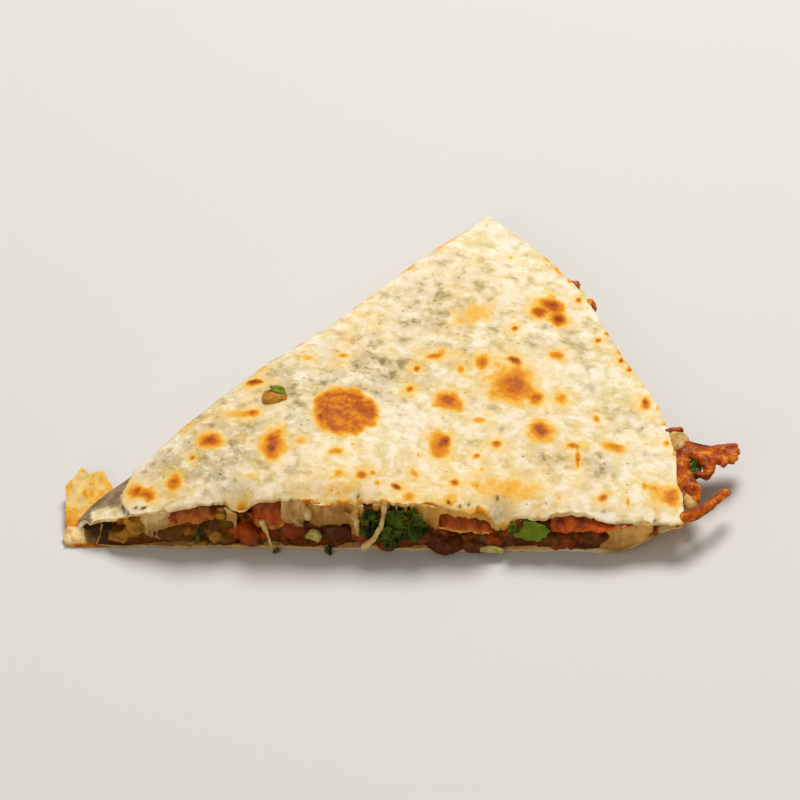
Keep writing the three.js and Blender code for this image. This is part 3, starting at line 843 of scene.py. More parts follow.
def filling_bounds(r, f):
    clear = pressed_sheet(r, f) + LAYER_GAP * smoothstep(f * width_at(r), 0, CUT_REACH)
    return underside(r, f) + clear, upperside(r, f) - sag_at(r, f) - clear


def meat_top(r, f):
    low, high = filling_bounds(r, f)
    share = lerp(meat_share(r), 0.66, smoothstep(f, 0.05, 0.3))
    return lerp(low, high, share)


def meat_face(r):
    return MEAT_FACE + 0.5 * np.sin(r / 2.9)


cheese_shown = through(
    # 1 where cheese comes to the front of the cut, 0 where meat hides it
    [(8, 0), (14, 0), (17, 1), (20, 0.5), (24, 0), (32, 0.3), (35, 0.3), (38, 0), (43, 0.2), (46, 1), (60, 1)]
    + [(63, 0), (72, 0), (100, 0), (109, 0), (112, 1), (120, 1)]
)


def cheese_face(r):
    return CHEESE_FACE + 0.5 * np.sin(r / 3.7 + 2) + HIDDEN_FACE * (1 - cheese_shown(r))


def filling_layer(front, bottom_at, top_at):
    """Sends a block between two heights, from a face near the cut back to the fold."""

    def place(u, v, w):
        r = lerp(FILLING_START, FILLING_END, u)
        back = 1 - (fold_depth(r) + LAYER_GAP) / width_at(r)
        f = lerp(front(r) / width_at(r), back, v**CUT_CROWDING)
        return on_slice(r, f, lerp(bottom_at(r, f), top_at(r, f), w))

    return place


meat_core, (u, v, w) = block(
    "meat_core", *CORE_CELLS, filling_layer(meat_face, lambda r, f: filling_bounds(r, f)[0], meat_top)
)
points = points_of(meat_core)
near_cut = 1 - smoothstep(v, 0.1, 0.35)
knobs = 0.5 * rough(points, 2.2, 41, 3) + 0.25 * rough(points, 0.9, 42, 2)
mark(meat_core, "tone", 0.32 + 0.3 * rough(points, 4, 43, 2))
push_out(meat_core, knobs * near_cut)
piece("meat_core", meat_core, "meat", "meat_filling")

# %% Where curtains of cheese hang in front of the meat
CURTAINS = [
    # from r to r, where the foot hangs at both ends as shares of the filling, bulge, how pale and how golden
    (15.4, 21.8, 0.3, 0.04, 0.5, 0.9, 0.0),
    (32.6, 35.4, 0.6, 0.45, 0.2, 0.5, 0.0),
    (44.4, 49.4, 0.5, 0.42, 0.4, 0.6, 0.0),
    (50.2, 58.6, 0.42, 0.5, 0.3, 0.1, 0.0),
    (58.8, 61.4, 0.2, 0.1, 0.4, 0.3, 0.6),
    (71.0, 74.2, 0.42, 0.35, 0.3, 0.2, 0.8),
    (74.4, 77.0, 0.3, 0.4, 0.3, 0.0, 0.6),
    (76.4, 88.8, 0.84, 0.78, 0.4, 0.2, 1.0),
    (110.2, 120.8, 0.0, 0.2, 0.7, 0.5, 0.6),
]


def curtain_foot(r):
    """The share of the filling's height that no curtain covers."""
    feet = [min(low, high) for start, end, low, high, *_ in CURTAINS if start <= r <= end]
    return min(feet, default=1)


print(len(CURTAINS), "curtains of cheese")

# %% Where strips of meat hang like a lip
LIPS = [
    # name, from r to r, height of its lower edge at both ends, how far it stands out, its tone at the top,
    # how much painted light brightens its lower ridge, and how much red sauce covers it
    ("meat_lip_tip", 19.6, 31.4, 5.0, 7.0, 1.2, 0.92, 0.12, 0.0),
    ("meat_lip_middle", 38.6, 45.4, 6.0, 4.4, 1.6, 0.86, 0.2, 0.15),
    ("meat_lip_left", 76.2, 88.6, 5.3, 4.8, 2.1, 0.72, 0.62, 0.1),
    ("meat_lip_right", 99.6, 117.0, 5.0, 8.2, 2.4, 0.85, 0.15, 1.0),
]
LIP_WAVE = 0.6
LIP_ROUND = 0.75  # how far its front turns back towards the foot, in half turns
LIP_FACE = 1.5  # how far behind the cut it hangs
LIP_THICKNESS = 1.4
LIP_CELLS = (110, 34, 2)


def lip_edge(r):
    """The height above which a lip hides what is behind it."""
    edges = [lerp(low, high, (r - a) / (b - a)) for _, a, b, low, high, *_ in LIPS if a <= r <= b]
    return min(edges, default=math.inf)


print(len(LIPS), "lips of meat")

# %% The crumbs of meat
TAN, OLIVE, DARK, BROWN, RED, ORANGE = -0.4, 0.0, 0.2, 0.4, 0.6, 0.8
MEAT_CRUMBS = [
    # r, height above the lower layer, width, height, how far it has slid out, tone
    (11.2, 0.8, 4.6, 2.6, 0, TAN + 0.12),
    (14.5, 3.5, 5.0, 4.2, 0, TAN + 0.08),
    (22, 2.0, 6.0, 3.6, 0, OLIVE - 0.05),
    (31, 4.2, 6.2, 5.4, 0, OLIVE - 0.06),
    (37.5, 2.6, 6.0, 5.2, 0.4, ORANGE - 0.05),
    (47, 3.0, 6.6, 4.4, 0, BROWN + 0.1),
    (55.3, 2.9, 6.6, 4.4, 0, DARK),
    (61, 1.9, 4.4, 3.4, 0, RED),
    (66, 1.2, 6.4, 3.4, 1.0, BROWN),
    (73.5, 3.2, 7.0, 4.6, 0.2, BROWN + 0.1),
    (78, 0.7, 7.6, 3.6, 1.5, DARK),
    (84.0, 0.5, 6.4, 3.4, 1.3, DARK + 0.1),
    (90.8, 1.5, 5.2, 3.2, 0.2, DARK + 0.05),
    (98.5, 2.0, 5.2, 3.6, 0, DARK + 0.1),
    (102.6, 1.6, 5.0, 3.2, 0, RED),
    (107.8, 2.6, 5.8, 5.0, 0.1, DARK + 0.15),
]
MEAT_END = 112  # the cheese closes the cut beyond
CRUMB_MIDDLE = 1.3
CRUMB_DEPTH = (3.2, 4.4)
SATELLITES = 4
SMALL_CRUMBS = 340
SMALL_SIZE = (1.1, 2.8)
CRUMB_VOXEL = 0.27
SAUCE_TONES = (DARK, BROWN, BROWN, RED, RED, ORANGE - 0.08, DARK + 0.1, OLIVE)
POINT_TONES = (OLIVE, OLIVE - 0.1, OLIVE - 0.2, TAN + 0.1, TAN + 0.2)  # where no sauce reached
TOP_CRUMBS = [
    # r, width, height, tone: crumbs right under the upper layer, where no cheese covers them
    (32.6, 4.0, 3.6, OLIVE),
    (46.6, 3.4, 4.4, RED),
    (62.6, 4.0, 4.4, BROWN),
    (93.0, 4.0, 2.6, OLIVE),
]
TOP_CRUMB_RISE = 0.1
TOP_CRUMB_MIDDLE = 1.9  # how far behind the cut
TOP_CRUMB_DEPTH = 3.4
CRUMB_LOWEST = 1.6
SAUCE_START = 34  # no red sauce reached the meat nearer the point


def large_crumbs(rng):
    """The listed crumbs, each with a few smaller ones round it."""
    for i, (r, above, width, height, out, tone) in enumerate(MEAT_CRUMBS):
        middle = Vector((r, CRUMB_MIDDLE - out + rng.uniform(-0.3, 0.3), SHEET + above))
        size = (width, rng.uniform(*CRUMB_DEPTH), height)
        yield tone, i + 1, middle, size, rng.uniform(-0.5, 0.5), 4, 0.2
        for j in range(SATELLITES):
            way = rng.uniform(0, math.tau)
            along, up = 0.45 * width * math.cos(way), 0.42 * height * math.sin(way)
            spot = middle + Vector((along, rng.uniform(-0.8, 1.0), up))
            small = rng.uniform(0.35, 0.6) * min(width, height)
            spot.z = min(max(spot.z, CRUMB_LOWEST), lip_edge(spot.x) - small / 2)
            size = (small * rng.uniform(1, 1.5), small, small)
            yield tone + rng.uniform(-0.12, 0.1), 400 + 9 * i + j, spot, size, rng.uniform(-1, 1)


def top_crumbs(rng):
    for i, (r, width, height, tone) in enumerate(TOP_CRUMBS):
        top = filling_bounds(r, 1.6 / width_at(r))[1]
        middle = Vector((r, TOP_CRUMB_MIDDLE + rng.uniform(-0.3, 0.3), top - height / 2 + TOP_CRUMB_RISE))
        yield tone, 50 + i, middle, (width, TOP_CRUMB_DEPTH, height), rng.uniform(-0.4, 0.4), 4


def small_crumbs(rng):
    """Crumbs at random places, where nothing hangs in front of them."""
    for i in range(SMALL_CRUMBS):
        r = rng.uniform(FILLING_START + 1, MEAT_END)
        size = lerp(*SMALL_SIZE, rng.random() ** 1.5)
        back = rng.uniform(-0.4, 1.6) + float(meat_face(r))
        low, high = filling_bounds(r, back / width_at(r))
        high = min(lerp(low, high, curtain_foot(r)), lip_edge(r))
        if high - low < size:
            continue
        middle = Vector((r, back, rng.uniform(low + size / 2 - 0.3, high - size / 2 + 0.3)))
        shape = (size * rng.uniform(0.9, 1.5), size, size * rng.uniform(0.7, 1.1))
        tone = rng.choice(SAUCE_TONES if r > SAUCE_START else POINT_TONES)
        yield tone, 100 + i, middle, shape, rng.uniform(-1, 1)


def belonging(points, crumbs):
    """The tone of the crumb that each point belongs to, and how far the point is from it."""
    tone, nearest = np.zeros(len(points)), np.full(len(points), np.inf)
    for crumb_tone, _, middle, size, *_ in crumbs:
        reach = np.linalg.norm((points - np.array(middle)) / (np.array(size) / 2), axis=1)
        closer = reach < nearest
        tone[closer], nearest[closer] = crumb_tone, reach[closer]
    return tone, nearest


rng = random.Random(5)
all_crumbs = [*large_crumbs(rng), *top_crumbs(rng), *small_crumbs(rng)]
crumbs_mesh = melted(crumb_mesh("meat_crumbs", all_crumbs), CRUMB_VOXEL, 2)
points = points_of(crumbs_mesh)
tone, nearest = belonging(points, all_crumbs)
mark(crumbs_mesh, "tone", tone)
# painted shade in the gaps between the crumbs
mark(crumbs_mesh, "groove", smoothstep(nearest, 1.0, 1.5))
push_out(crumbs_mesh, 0.16 * rough(points, 1.4, 44, 3) + 0.05 * rough(points, 0.6, 45, 2))
print(len(all_crumbs), "crumbs of meat")
piece("meat_crumbs", crumbs_mesh, "meat")

# %% The lips of meat
def meat_lip(start, end, low_start, low_end, bulge, seed):
    """Sends a block to a strip that leans out towards its wavy lower edge."""

    def place(u, v, w):
        r = lerp(start, end, u)
        line, front = xyz(r, 0, 1.5 * v), xyz(r, 0, 5 * v)
        high = filling_bounds(r, 1.0 / width_at(r))[1] - 0.2
        low = lerp(low_start, low_end, u) + 0.8 * rough(line, 2.4, seed, 3)
        ends = np.sqrt(1 - np.abs(2 * u - 1) ** 4)
        edge = 0.7 * (1 - smoothstep(v, 0, 0.14))
        lean = bulge * np.sin(LIP_ROUND * math.pi * (1 - v)) * ends
        lean = lean + LIP_WAVE * rough(front, 1.9, seed + 1, 3)
        return xyz(r, LIP_FACE - lean + edge + LIP_THICKNESS * (1 - w), lerp(np.minimum(low, high), high, v))

    return place


for i, (name, *form, top_tone, light_strength, sauce) in enumerate(LIPS):
    lip_mesh, (u, v, w) = block(name, *LIP_CELLS, meat_lip(*form, 46 + 2 * i))
    points = points_of(lip_mesh)
    shreds = rough(points * (1, 1, 0.7), 1.8, 55 + i, 3)
    # painted light along the lip's lower ridge
    painted_light_band = (1 - smoothstep(v, 0.08, 0.5)) * smoothstep(shreds, -0.8, 0.1)
    mark(lip_mesh, "tone", top_tone + light_strength * painted_light_band + 0.14 * shreds)
    mark(lip_mesh, "sauce", sauce * smoothstep(rough(points, 3.2, 57 + i, 2), -0.5, 0.3))
    # painted shade between the shreds and towards the top, under the upper layer
    between = 0.6 * smoothstep(-shreds, 0.2, 0.7) * (1 - painted_light_band)
    mark(lip_mesh, "groove", between + 0.7 * smoothstep(v, 0.5, 0.9))
    piece(name, lip_mesh, "meat")

# %% [markdown]
# ## The melted cheese
#
# Cheese lies over the meat as a slab, and at the cut it hangs down in curtains and strings. A curtain is a
# block with pleats in its front and a ragged foot, a string is a tapering rod, and a voxel remesh melts
# them all into one skin.


# %% The slab of cheese
def cheese_bottom(r, f):
    return meat_top(r, f) + 0.1


def cheese_top(r, f):
    return filling_bounds(r, f)[1]


slab, (u, v, w) = block("cheese_slab", *SLAB_CELLS, filling_layer(cheese_face, cheese_bottom, cheese_top))
points = points_of(slab)
near_cut = 1 - smoothstep(v, 0.1, 0.35)
folds = 0.35 * rough(points, 3.0, 51, 2) + 0.12 * rough(points, 1.1, 52, 2)
push_out(slab, folds * near_cut)
piece("cheese_slab", slab, "melted_cheese", "melted_cheese")


# %% Cheese that hangs in the cut
CURTAIN_CELLS = (64, 36)
CURTAIN_FACE = 0.7  # how far behind the cut it hangs
CURTAIN_THICKNESS = (1.8, 0.8)  # at its top and at its foot
CHEESE_VOXEL = 0.22
DRIPS = (62.4, 74.0, 9)  # from r to r, how many
CHEESE_STRANDS = [
    # points as x, y, z, and the thickness at each of them
    ([(7.6, 1.9, 4.5), (7.3, 0.4, 3.2), (6.6, -0.2, 1.2)], [0.55, 0.4, 0.55]),
    ([(40.5, 0.0, 8.0), (41.8, -0.9, 4.6), (42.4, -1.2, 2.2), (44.5, -1.6, 0.4)], [1.6, 0.7, 0.4, 0.25]),
    (
        [(65.6, 0.2, 13.1), (65.4, -1.3, 11.0), (65.0, -2.2, 8.8), (63.6, -2.8, 6.2), (61.6, -2.9, 3.8)],
        [1.5, 1.0, 1.1, 1.2, 1.6],
    ),
    ([(57.6, 0.0, 10.8), (60.4, -0.6, 8.8)], [0.9, 0.7]),
    ([(45.6, 0.6, 11.4), (46.8, 0.0, 8.8), (48.8, 0.2, 6.6)], [1.4, 1.0, 0.7]),
    ([(49.9, 0.5, 11.4), (50.0, -0.2, 10.4), (50.0, 0.0, 9.4)], [1.6, 1.9, 1.7]),
    ([(59.6, 0.4, 10.6), (60.0, -0.3, 7.6), (60.2, 0.0, 4.4)], [1.6, 1.3, 1.0]),
    ([(110.6, 0.8, 1.4), (113.6, 0.8, 1.9), (116.6, 0.8, 3.1), (119.4, 0.9, 4.4)], [1.6, 2.2, 2.2, 1.6]),
]


def curtain(start, end, foot_start, foot_end, bulge, seed):
    """A curtain of cheese from the upper layer down, pleated and ragged."""

    def place(u, v, w):
        r = lerp(start, end, u)
        line = xyz(r, 0, 0)
        face = CURTAIN_FACE + 0.5 * rough(line, 3.0, seed)
        low, high = filling_bounds(r, face / width_at(r))
        foot = lerp(low, high, lerp(foot_start, foot_end, u)) + 0.9 * rough(line, 1.4, seed + 5, 3)
        z = lerp(high + 0.3, np.clip(foot, low - 0.1, high), v)
        pleats = 0.45 * rough(xyz(r, 0, z / 5), 1.3, seed + 9, 2)
        side = 1 - np.abs(2 * u - 1) ** 6
        thick = lerp(*CURTAIN_THICKNESS, v) * lerp(0.4, 1, side)
        front = face - (bulge * np.sin(math.pi * v) + pleats) * side
        return xyz(r, front + (1 - w) * thick, z)

    return block("curtain", *CURTAIN_CELLS, 1, place)[0]


def add_drips(shape, rng):
    """Short drips along the upper layer's edge."""
    start, end, count = DRIPS
    for i in range(count):
        r = lerp(start, end, (i + rng.random()) / count)
        top = float(upperside(r, 0) - sag_at(r, 0)) - 0.7
        long = rng.uniform(0.3, 1.6)
        thick = rng.uniform(0.6, 1.3)
        add_rod(shape, [(r, 0.9, top), (r + rng.uniform(-0.4, 0.4), 0.5, top - long)], [thick, 0.7 * thick])


def hanging_cheese(seed):
    shape = bmesh.new()
    for i, (*form, _, _) in enumerate(CURTAINS):
        hung = curtain(*form, seed + 20 * i)
        shape.from_mesh(hung)
        bpy.data.meshes.remove(hung)
    add_drips(shape, random.Random(seed))
    for points, thick in CHEESE_STRANDS:
        add_rod(shape, points, thick)
    return melted(mesh_of("hanging_cheese", shape), CHEESE_VOXEL)


def curtain_share(r, which):
    """How pale or golden the cheese is at each point, from the curtain that hangs there."""
    share = np.zeros_like(r)
    for values in CURTAINS:
        start, end = values[:2]
        inside = smoothstep(r, start - 0.4, start + 0.2) * (1 - smoothstep(r, end - 0.2, end + 0.4))
        share = np.maximum(share, values[which] * inside)
    return share


cheese_mesh = hanging_cheese(23)
points = points_of(cheese_mesh)
push_out(cheese_mesh, 0.16 * rough(points, 1.8, 53, 3))
x, y, z = points.T
string = smoothstep(-y, 0.0, 0.8)
mark(cheese_mesh, "pale", np.maximum(curtain_share(x, -2), string))
mark(cheese_mesh, "gold", curtain_share(x, -1) * (1 - string))
hung_from = filling_bounds(x, 1.0 / width_at(x))[1]
mark(cheese_mesh, "foot", smoothstep(hung_from - z, 1.0, 7.0) * (1 - string))
piece("hanging_cheese", cheese_mesh, "melted_cheese")

# %% [markdown]
# ## Cilantro
#
# The leaves are thin, cut into three toothed lobes and crumpled by the heat, with a vein down each lobe. A
# square block of cells is drawn into a disc, the disc is scaled by the leaf's outline, and the veins and
# the crumple are waves across it. Most crowd together in one dark green tuft and two lie further along.
# Tiny ones stuck to the garnish on top and at the foot of the cut, one is caught in the fried lace, and a
# bit of stem stands nearer the point.

# %% Leaves
LEAVES = [
    # middle, width and length, turn about the vertical, how far it stands up and spin in its plane in
    # degrees, how deep its lobes are and how fresh it still is
    ((63.6, -0.8, 9.1), (6.8, 7.4), 22, 72, 160, 1, 0),
    ((70.4, -0.8, 8.4), (8.6, 8.6), -20, 68, -150, 1, 0.1),
    ((66.9, -2.0, 5.2), (5.8, 4.8), 8, 60, 180, 1, 0),
    ((95.2, -0.3, 6.5), (9.4, 4.9), -4, 62, 176, 0.35, 0.8),
    ((67.2, 0.4, 10.2), (6.4, 4.8), 5, 62, 30, 1, 0),
    ((73.0, -0.5, 6.6), (4.8, 5.2), -30, 78, 120, 1, 0),
    ((62.4, -0.6, 6.0), (4.2, 4.4), 25, 75, 200, 1, 0),
    ((43.2, 31.2, 15.3), (2.3, 4.0), 82, 20, 0, 0.2, 1),
    ((91.9, -0.4, 6.7), (3.0, 3.2), -15, 75, 150, 1, 0.1),
    ((128.6, 18.4, 6.2), (5.6, 4.6), 20, 12, 60, 0.3, 0.2),
    ((65.2, -1.2, 7.6), (4.6, 4.4), -10, 55, 140, 1, 0),
    ((69.2, -1.3, 6.4), (5.0, 4.6), 30, 82, 190, 1, 0.05),
    ((68.0, -0.6, 10.0), (5.2, 4.6), -14, 80, -170, 1, 0.2),
    ((54.2, -0.9, 0.8), (2.8, 1.8), 5, 25, 90, 1, 0),
    ((43.4, -1.1, 0.7), (1.8, 1.4), -20, 30, 40, 1, 0),
]
SOLID_LEAVES = 4  # the first ones stand for solids
LEAF_THICKNESS = 0.3
LEAF_CELLS = 44


def disc(u, v):
    """A square of cells drawn into a disc: x and y, the angle from the tip and the distance out."""
    a, b = 2 * u - 1, 2 * v - 1
    x, y = a * np.sqrt(1 - b * b / 2), b * np.sqrt(1 - a * a / 2)
    return x, y, np.arctan2(x, y), np.hypot(x, y)


def vein_at(angle, reach):
    return np.exp(-((np.sin(1.5 * angle) * reach / 0.08) ** 2)) * (1 - 0.6 * reach)


def leaf(name, middle, size, turn, stand, spin, depth, fresh, seed):
    lay = Matrix.Rotation(math.radians(turn), 3, "Z") @ Matrix.Rotation(math.radians(stand), 3, "X")
    lay = np.array(lay @ Matrix.Rotation(math.radians(spin), 3, "Z"))
    small = min(size) / 7
    cells = round(LEAF_CELLS * min(1, max(size) / 5))

    def place(u, v, w):
        x, y, angle, reach = disc(u, v)
        lobe = np.abs(np.cos(1.5 * angle)) ** 0.6
        teeth = 0.1 * lobe * np.cos(10.5 * angle + 0.4 * np.sin(seed))
        outline = 0.92 - depth * 0.46 * (1 - lobe) + math.sqrt(depth) * teeth
        fold = 0.9 * np.abs(x) - 0.7 * reach**2 + 0.5 * np.sin(3 * angle + seed) * reach**2
        crumple = lerp(0.3, 0.6, depth) * np.sin(5 * x + seed) * np.cos(4 * y + 2 * seed)
        z = small * (fold + crumple - 0.2 * vein_at(angle, reach)) + (w - 0.5) * LEAF_THICKNESS
        flat = xyz(x * outline * size[0] / 2, y * outline * size[1] / 2, z)
        return flat @ lay.T + np.array(middle)

    mesh, (u, v, w) = block(name, cells, cells, 1, place)
    _, _, angle, reach = disc(u, v)
    mark(mesh, "vein", vein_at(angle, reach))
    mark(mesh, "fresh", fresh)
    return mesh


for i, values in enumerate(LEAVES, 1):
    name = f"green_leaf_{i}"
    solids = [f"cilantro_leaf_{i}"] if i <= SOLID_LEAVES else []
    piece(name, leaf(name, *values, i), "cilantro", *solids)

# %% The stem
STEM = [(27.2, -0.8, 2.7), (27.5, -0.9, 4.8), (28.0, -0.8, 6.9)]
STEM_THICKNESS = [1.1, 0.9, 1.0]
STEM_VOXEL = 0.16
stem_shape = bmesh.new()
add_rod(stem_shape, STEM, STEM_THICKNESS)
piece("green_stem", melted(mesh_of("green_stem", stem_shape), STEM_VOXEL), "cilantro", "cilantro_stem")

# %% [markdown]
# ## Onion
#
# Two bits of onion show as pale, curved slivers.

# %% Onion bits
ONIONS = [
    # solid, middle, width, depth and height, turn
    ("onion_1", (51.4, -0.9, 5.2), (3.2, 1.6, 2.6), 0.5),
    ("onion_2", (87.6, -1.5, 2.3), (5.2, 1.2, 1.5), 0.15),
]


def onion(name, middle, size, turn, seed):
    lay = np.array(Matrix.Rotation(turn, 3, "Y"))

    def place(u, v, w):
        a, b, c = 2 * u - 1, 2 * v - 1, 2 * w - 1
        x = a * np.sqrt(1 - b * b / 2 * 0.7)
        y = b * np.sqrt(1 - a * a / 2 * 0.7)
        z = c * np.sqrt(1 - 0.6 * np.maximum(a * a, b * b)) - 0.4 * a * a
        return xyz(x * size[0] / 2, y * size[1] / 2, z * size[2] / 2) @ lay.T + np.array(middle)

    mesh, _ = block(name, 24, 14, 6, place)
    push_out(mesh, 0.12 * rough(points_of(mesh), 1.4, seed, 2))
    return mesh


for seed, (node, middle, size, turn) in enumerate(ONIONS):
    name = node.replace("onion", "onion_sliver")
    piece(name, onion(name, middle, size, turn, 80 + seed), "onion", node)

# %% [markdown]
# ## Fried cheese
#
# Cheese that ran out over the rim fried to a brittle lace: a stem along the rim, a broad arm of ribs side
# by side, a hooked branch and a long finger. Rods laid out from the rim are melted into one skin, and noise
# roughens it. Two bits of cheese between them stayed soft and pale.

# %% Lace and finger
GAP = 0.3
CRISP_MIDDLE = RIM_LIFT + 1.4  # its height above the table
CRISP_FLAT = 0.8  # the lace is flatter than its rods
CRISP_VOXEL = 0.18
LACE_RODS = [
    # points as distance out from the rim and along it, and the thickness at each of them
    ([(2.0, 24.2), (4.8, 23.6), (7.2, 23.2), (12.2, 23.2)], [1.6, 1.3, 1.2, 1.3]),  # the arm
    ([(1.8, 22.9), (6.5, 21.9), (9.7, 21.9), (12.4, 21.9)], [2.0, 1.7, 1.5, 1.4]),
    ([(2.2, 21.5), (5.8, 20.5), (9.1, 20.5), (11.8, 20.4)], [2.0, 1.8, 1.7, 1.3]),
    ([(7.5, 20.0), (9.2, 18.9), (9.0, 17.6)], [1.8, 1.6, 0.8]),
    ([(10.0, 19.8), (11.2, 19.0)], [1.4, 0.8]),
    # the branch
    ([(4.4, 21.6), (5.3, 19.3), (6.0, 17.0), (5.1, 15.5), (3.6, 16.2)], [1.8, 2.0, 1.8, 1.5, 1.1]),
    ([(6.8, 19.8), (6.8, 17.4)], [1.3, 1.0]),
    (
        [(1.8, 23.2), (0.9, 20.3), (0.4, 16.9), (0.9, 13.2), (1.9, 10.6), (2.3, 8.3)],
        [2.4, 2.2, 2.4, 2.8, 3.0, 1.6],
    ),
    ([(-0.4, 16.2), (-0.2, 12.3), (0.2, 9.9)], [1.2, 1.6, 1.8]),
    ([(-0.6, 28.9), (0.7, 29.1), (2.0, 28.9)], [1.0, 1.1, 1.3]),
]
FINGER_RODS = [
    ([(0.2, 2.8), (2.4, 4.6), (5.0, 6.8), (7.7, 9.6), (8.9, 10.8)], [2.2, 2.0, 1.8, 1.6, 1.5]),
]
RIM_CHEESE_RODS = [
    ([(0.5, 27.2), (1.3, 25.6), (1.2, 23.4)], [2.0, 3.4, 2.8]),
    ([(0.6, 9.6), (1.4, 7.2)], [2.0, 2.4]),
]


def beyond_rim(out, along, drop):
    wave = 0.5 * math.sin(along / 1.7 + out / 2.3)
    height = CRISP_MIDDLE + wave - drop * out
    return Vector(on_slice(RIM_RADIUS + GAP + out, along / width_at(RIM_RADIUS), height))


def crisp(name, rods, drop, seed, depth=0.14, broad=1.32):
    """Rods melted into a flat skin, with noise of this depth on it."""
    shape = bmesh.new()
    for path, thick in rods:
        add_rod(shape, [beyond_rim(out, along, drop) for out, along in path], [broad * t for t in thick])
    mesh = melted(mesh_of(name, shape), CRISP_VOXEL)
    points = points_of(mesh)
    points[:, 2] = CRISP_MIDDLE + CRISP_FLAT * (points[:, 2] - CRISP_MIDDLE)
    move_points(mesh, points)
    bumps = depth * (rough(points, 1.6, seed, 3) + 0.2 * rough(points, 0.5, seed + 1, 2))
    move_points(mesh, points + vectors_of(mesh, "normal") * bumps[:, None])
    return mesh


piece("crisp_lace", crisp("crisp_lace", LACE_RODS, 0.12, 91), "fried_cheese", "fried_cheese_lace")
piece("crisp_finger", crisp("crisp_finger", FINGER_RODS, 0.1, 95), "fried_cheese", "fried_cheese_finger")
rim_cheese = crisp("rim_cheese", RIM_CHEESE_RODS, 0.1, 97, 0.06, 1.15)
mark(rim_cheese, "pale", 0.7)
piece("rim_cheese", rim_cheese, "melted_cheese")

# %% [markdown]
# ## Writing finishes as sums
#
# A finish is arithmetic on noise, distances and attributes. A small class wraps a socket, so that Python's
# own operators add the Math nodes, and one method adds every other kind of node.


# %% Sockets with arithmetic
class Value:
    def __init__(self, finish, socket):
        self.finish = finish
        self.socket = socket

    def math(self, operation, first, second):
        return self.finish.node("Math", {"operation": operation}, {0: first, 1: second})

    def __add__(self, other):
        return self.math("ADD", self, other)

    def __sub__(self, other):
        return self.math("SUBTRACT", self, other)

    def __rsub__(self, other):
        return self.math("SUBTRACT", other, self)

    def __mul__(self, other):
        return self.math("MULTIPLY", self, other)

    def least(self, other):
        return self.math("MINIMUM", self, other)

    def between(self, low, high):
        """0 below low and 1 above high, smooth between."""
        settings = {"interpolation_type": "SMOOTHSTEP"}
        return self.finish.node("MapRange", settings, {"Value": self, "From Min": low, "From Max": high})


def linear(tint):
    """A linear colour from the usual 0 to 255 values. A socket stays as it is."""
    if isinstance(tint, Value):
        return tint
    shares = [c / 255 for c in tint]
    return (*[c / 12.92 if c <= 0.04045 else ((c + 0.055) / 1.055) ** 2.4 for c in shares], 1.0)


class Finish:
    def __init__(self, name, base=None):
        self.material = bpy.data.materials.new(name)
        self.material.use_nodes = True
        self.tree = self.material.node_tree
        self.tree.nodes.clear()
        self.place = self.node("TexCoord", output="Object")
        self.base = base

    def node(self, kind, settings=None, inputs=None, output=0):
        made = self.tree.nodes.new("ShaderNode" + kind)
        for name, value in (settings or {}).items():
            setattr(made, name, value)
        for name, value in (inputs or {}).items():
            if isinstance(value, Value):
                self.tree.links.new(value.socket, made.inputs[name])
            else:
                made.inputs[name].default_value = value
        return Value(self, made.outputs[output])

    def kept(self, name):
        return self.node("Attribute", {"attribute_name": name}, output="Fac")

    def noise(self, size, detail=2.0, roughness=0.5, distortion=0.0, drawn=1.0):
        """Noise from 0 to 1 with waves about size millimetres long, and drawn out upwards into streaks."""
        place = self.place
        if drawn != 1.0:
            place = self.node("VectorMath", {"operation": "MULTIPLY"}, {0: place, 1: (1, 1, 1 / drawn)})
        values = {"Vector": place, "Scale": 1 / (size * MM), "Detail": detail}
        return self.node("TexNoise", None, values | {"Roughness": roughness, "Distortion": distortion})

    def cells(self, size):
        return self.node("TexVoronoi", None, {"Vector": self.place, "Scale": 1 / (size * MM)}, "Distance")

    def mix(self, share, low, high):
        return self.node("Mix", {"data_type": "RGBA"}, {0: share, 6: linear(low), 7: linear(high)}, output=2)

    def layer(self, share, tint):
        """Lays a colour over the base."""
        self.base = self.mix(share, self.base, tint)

    def ramp(self, value, stops):
        """A colour that runs through the stops as the value rises."""
        result = stops[0][1]
        for (low, _), (high, tint) in zip(stops, stops[1:]):
            result = self.mix(value.between(low, high), result, tint)
        return result

    def bump(self, height, distance, strength):
        return self.node("Bump", None, {"Height": height, "Distance": distance * MM, "Strength": strength})

    def done(self, dull, normal, specular=0.5, coat=(0.0, 0.03), soft=(0.0, (1.0, 0.2, 0.1))):
        """Coat is its weight and roughness, soft the light that sinks in and how far each colour goes, mm."""
        values = {"Base Color": linear(self.base), "Roughness": dull, "Normal": normal}
        values |= {"Specular IOR Level": specular, "Coat Weight": coat[0], "Coat Roughness": coat[1]}
        values |= {"Subsurface Weight": soft[0], "Subsurface Scale": 1.0}
        values["Subsurface Radius"] = [depth * MM for depth in soft[1]]
        shader = self.node("BsdfPrincipled", None, values)
        out = self.tree.nodes.new("ShaderNodeOutputMaterial")
        self.tree.links.new(shader.socket, out.inputs["Surface"])
        return self.material


def finish_pieces(material, *names):
    for name in names:
        made_pieces[name].data.materials.clear()
        made_pieces[name].data.materials.append(material)
    print(material.name, "on", ", ".join(names))


# %% [markdown]
# ## Dough
#
# The base is ivory, in clouds of floury white and faint yellow. Damp mottles are noise that the damp
# attribute lets through, with finer dark flecks inside them. The brownness attribute, sharpened by fine
# noise so that a spot looks granular, runs a ramp from gold to dark brown.


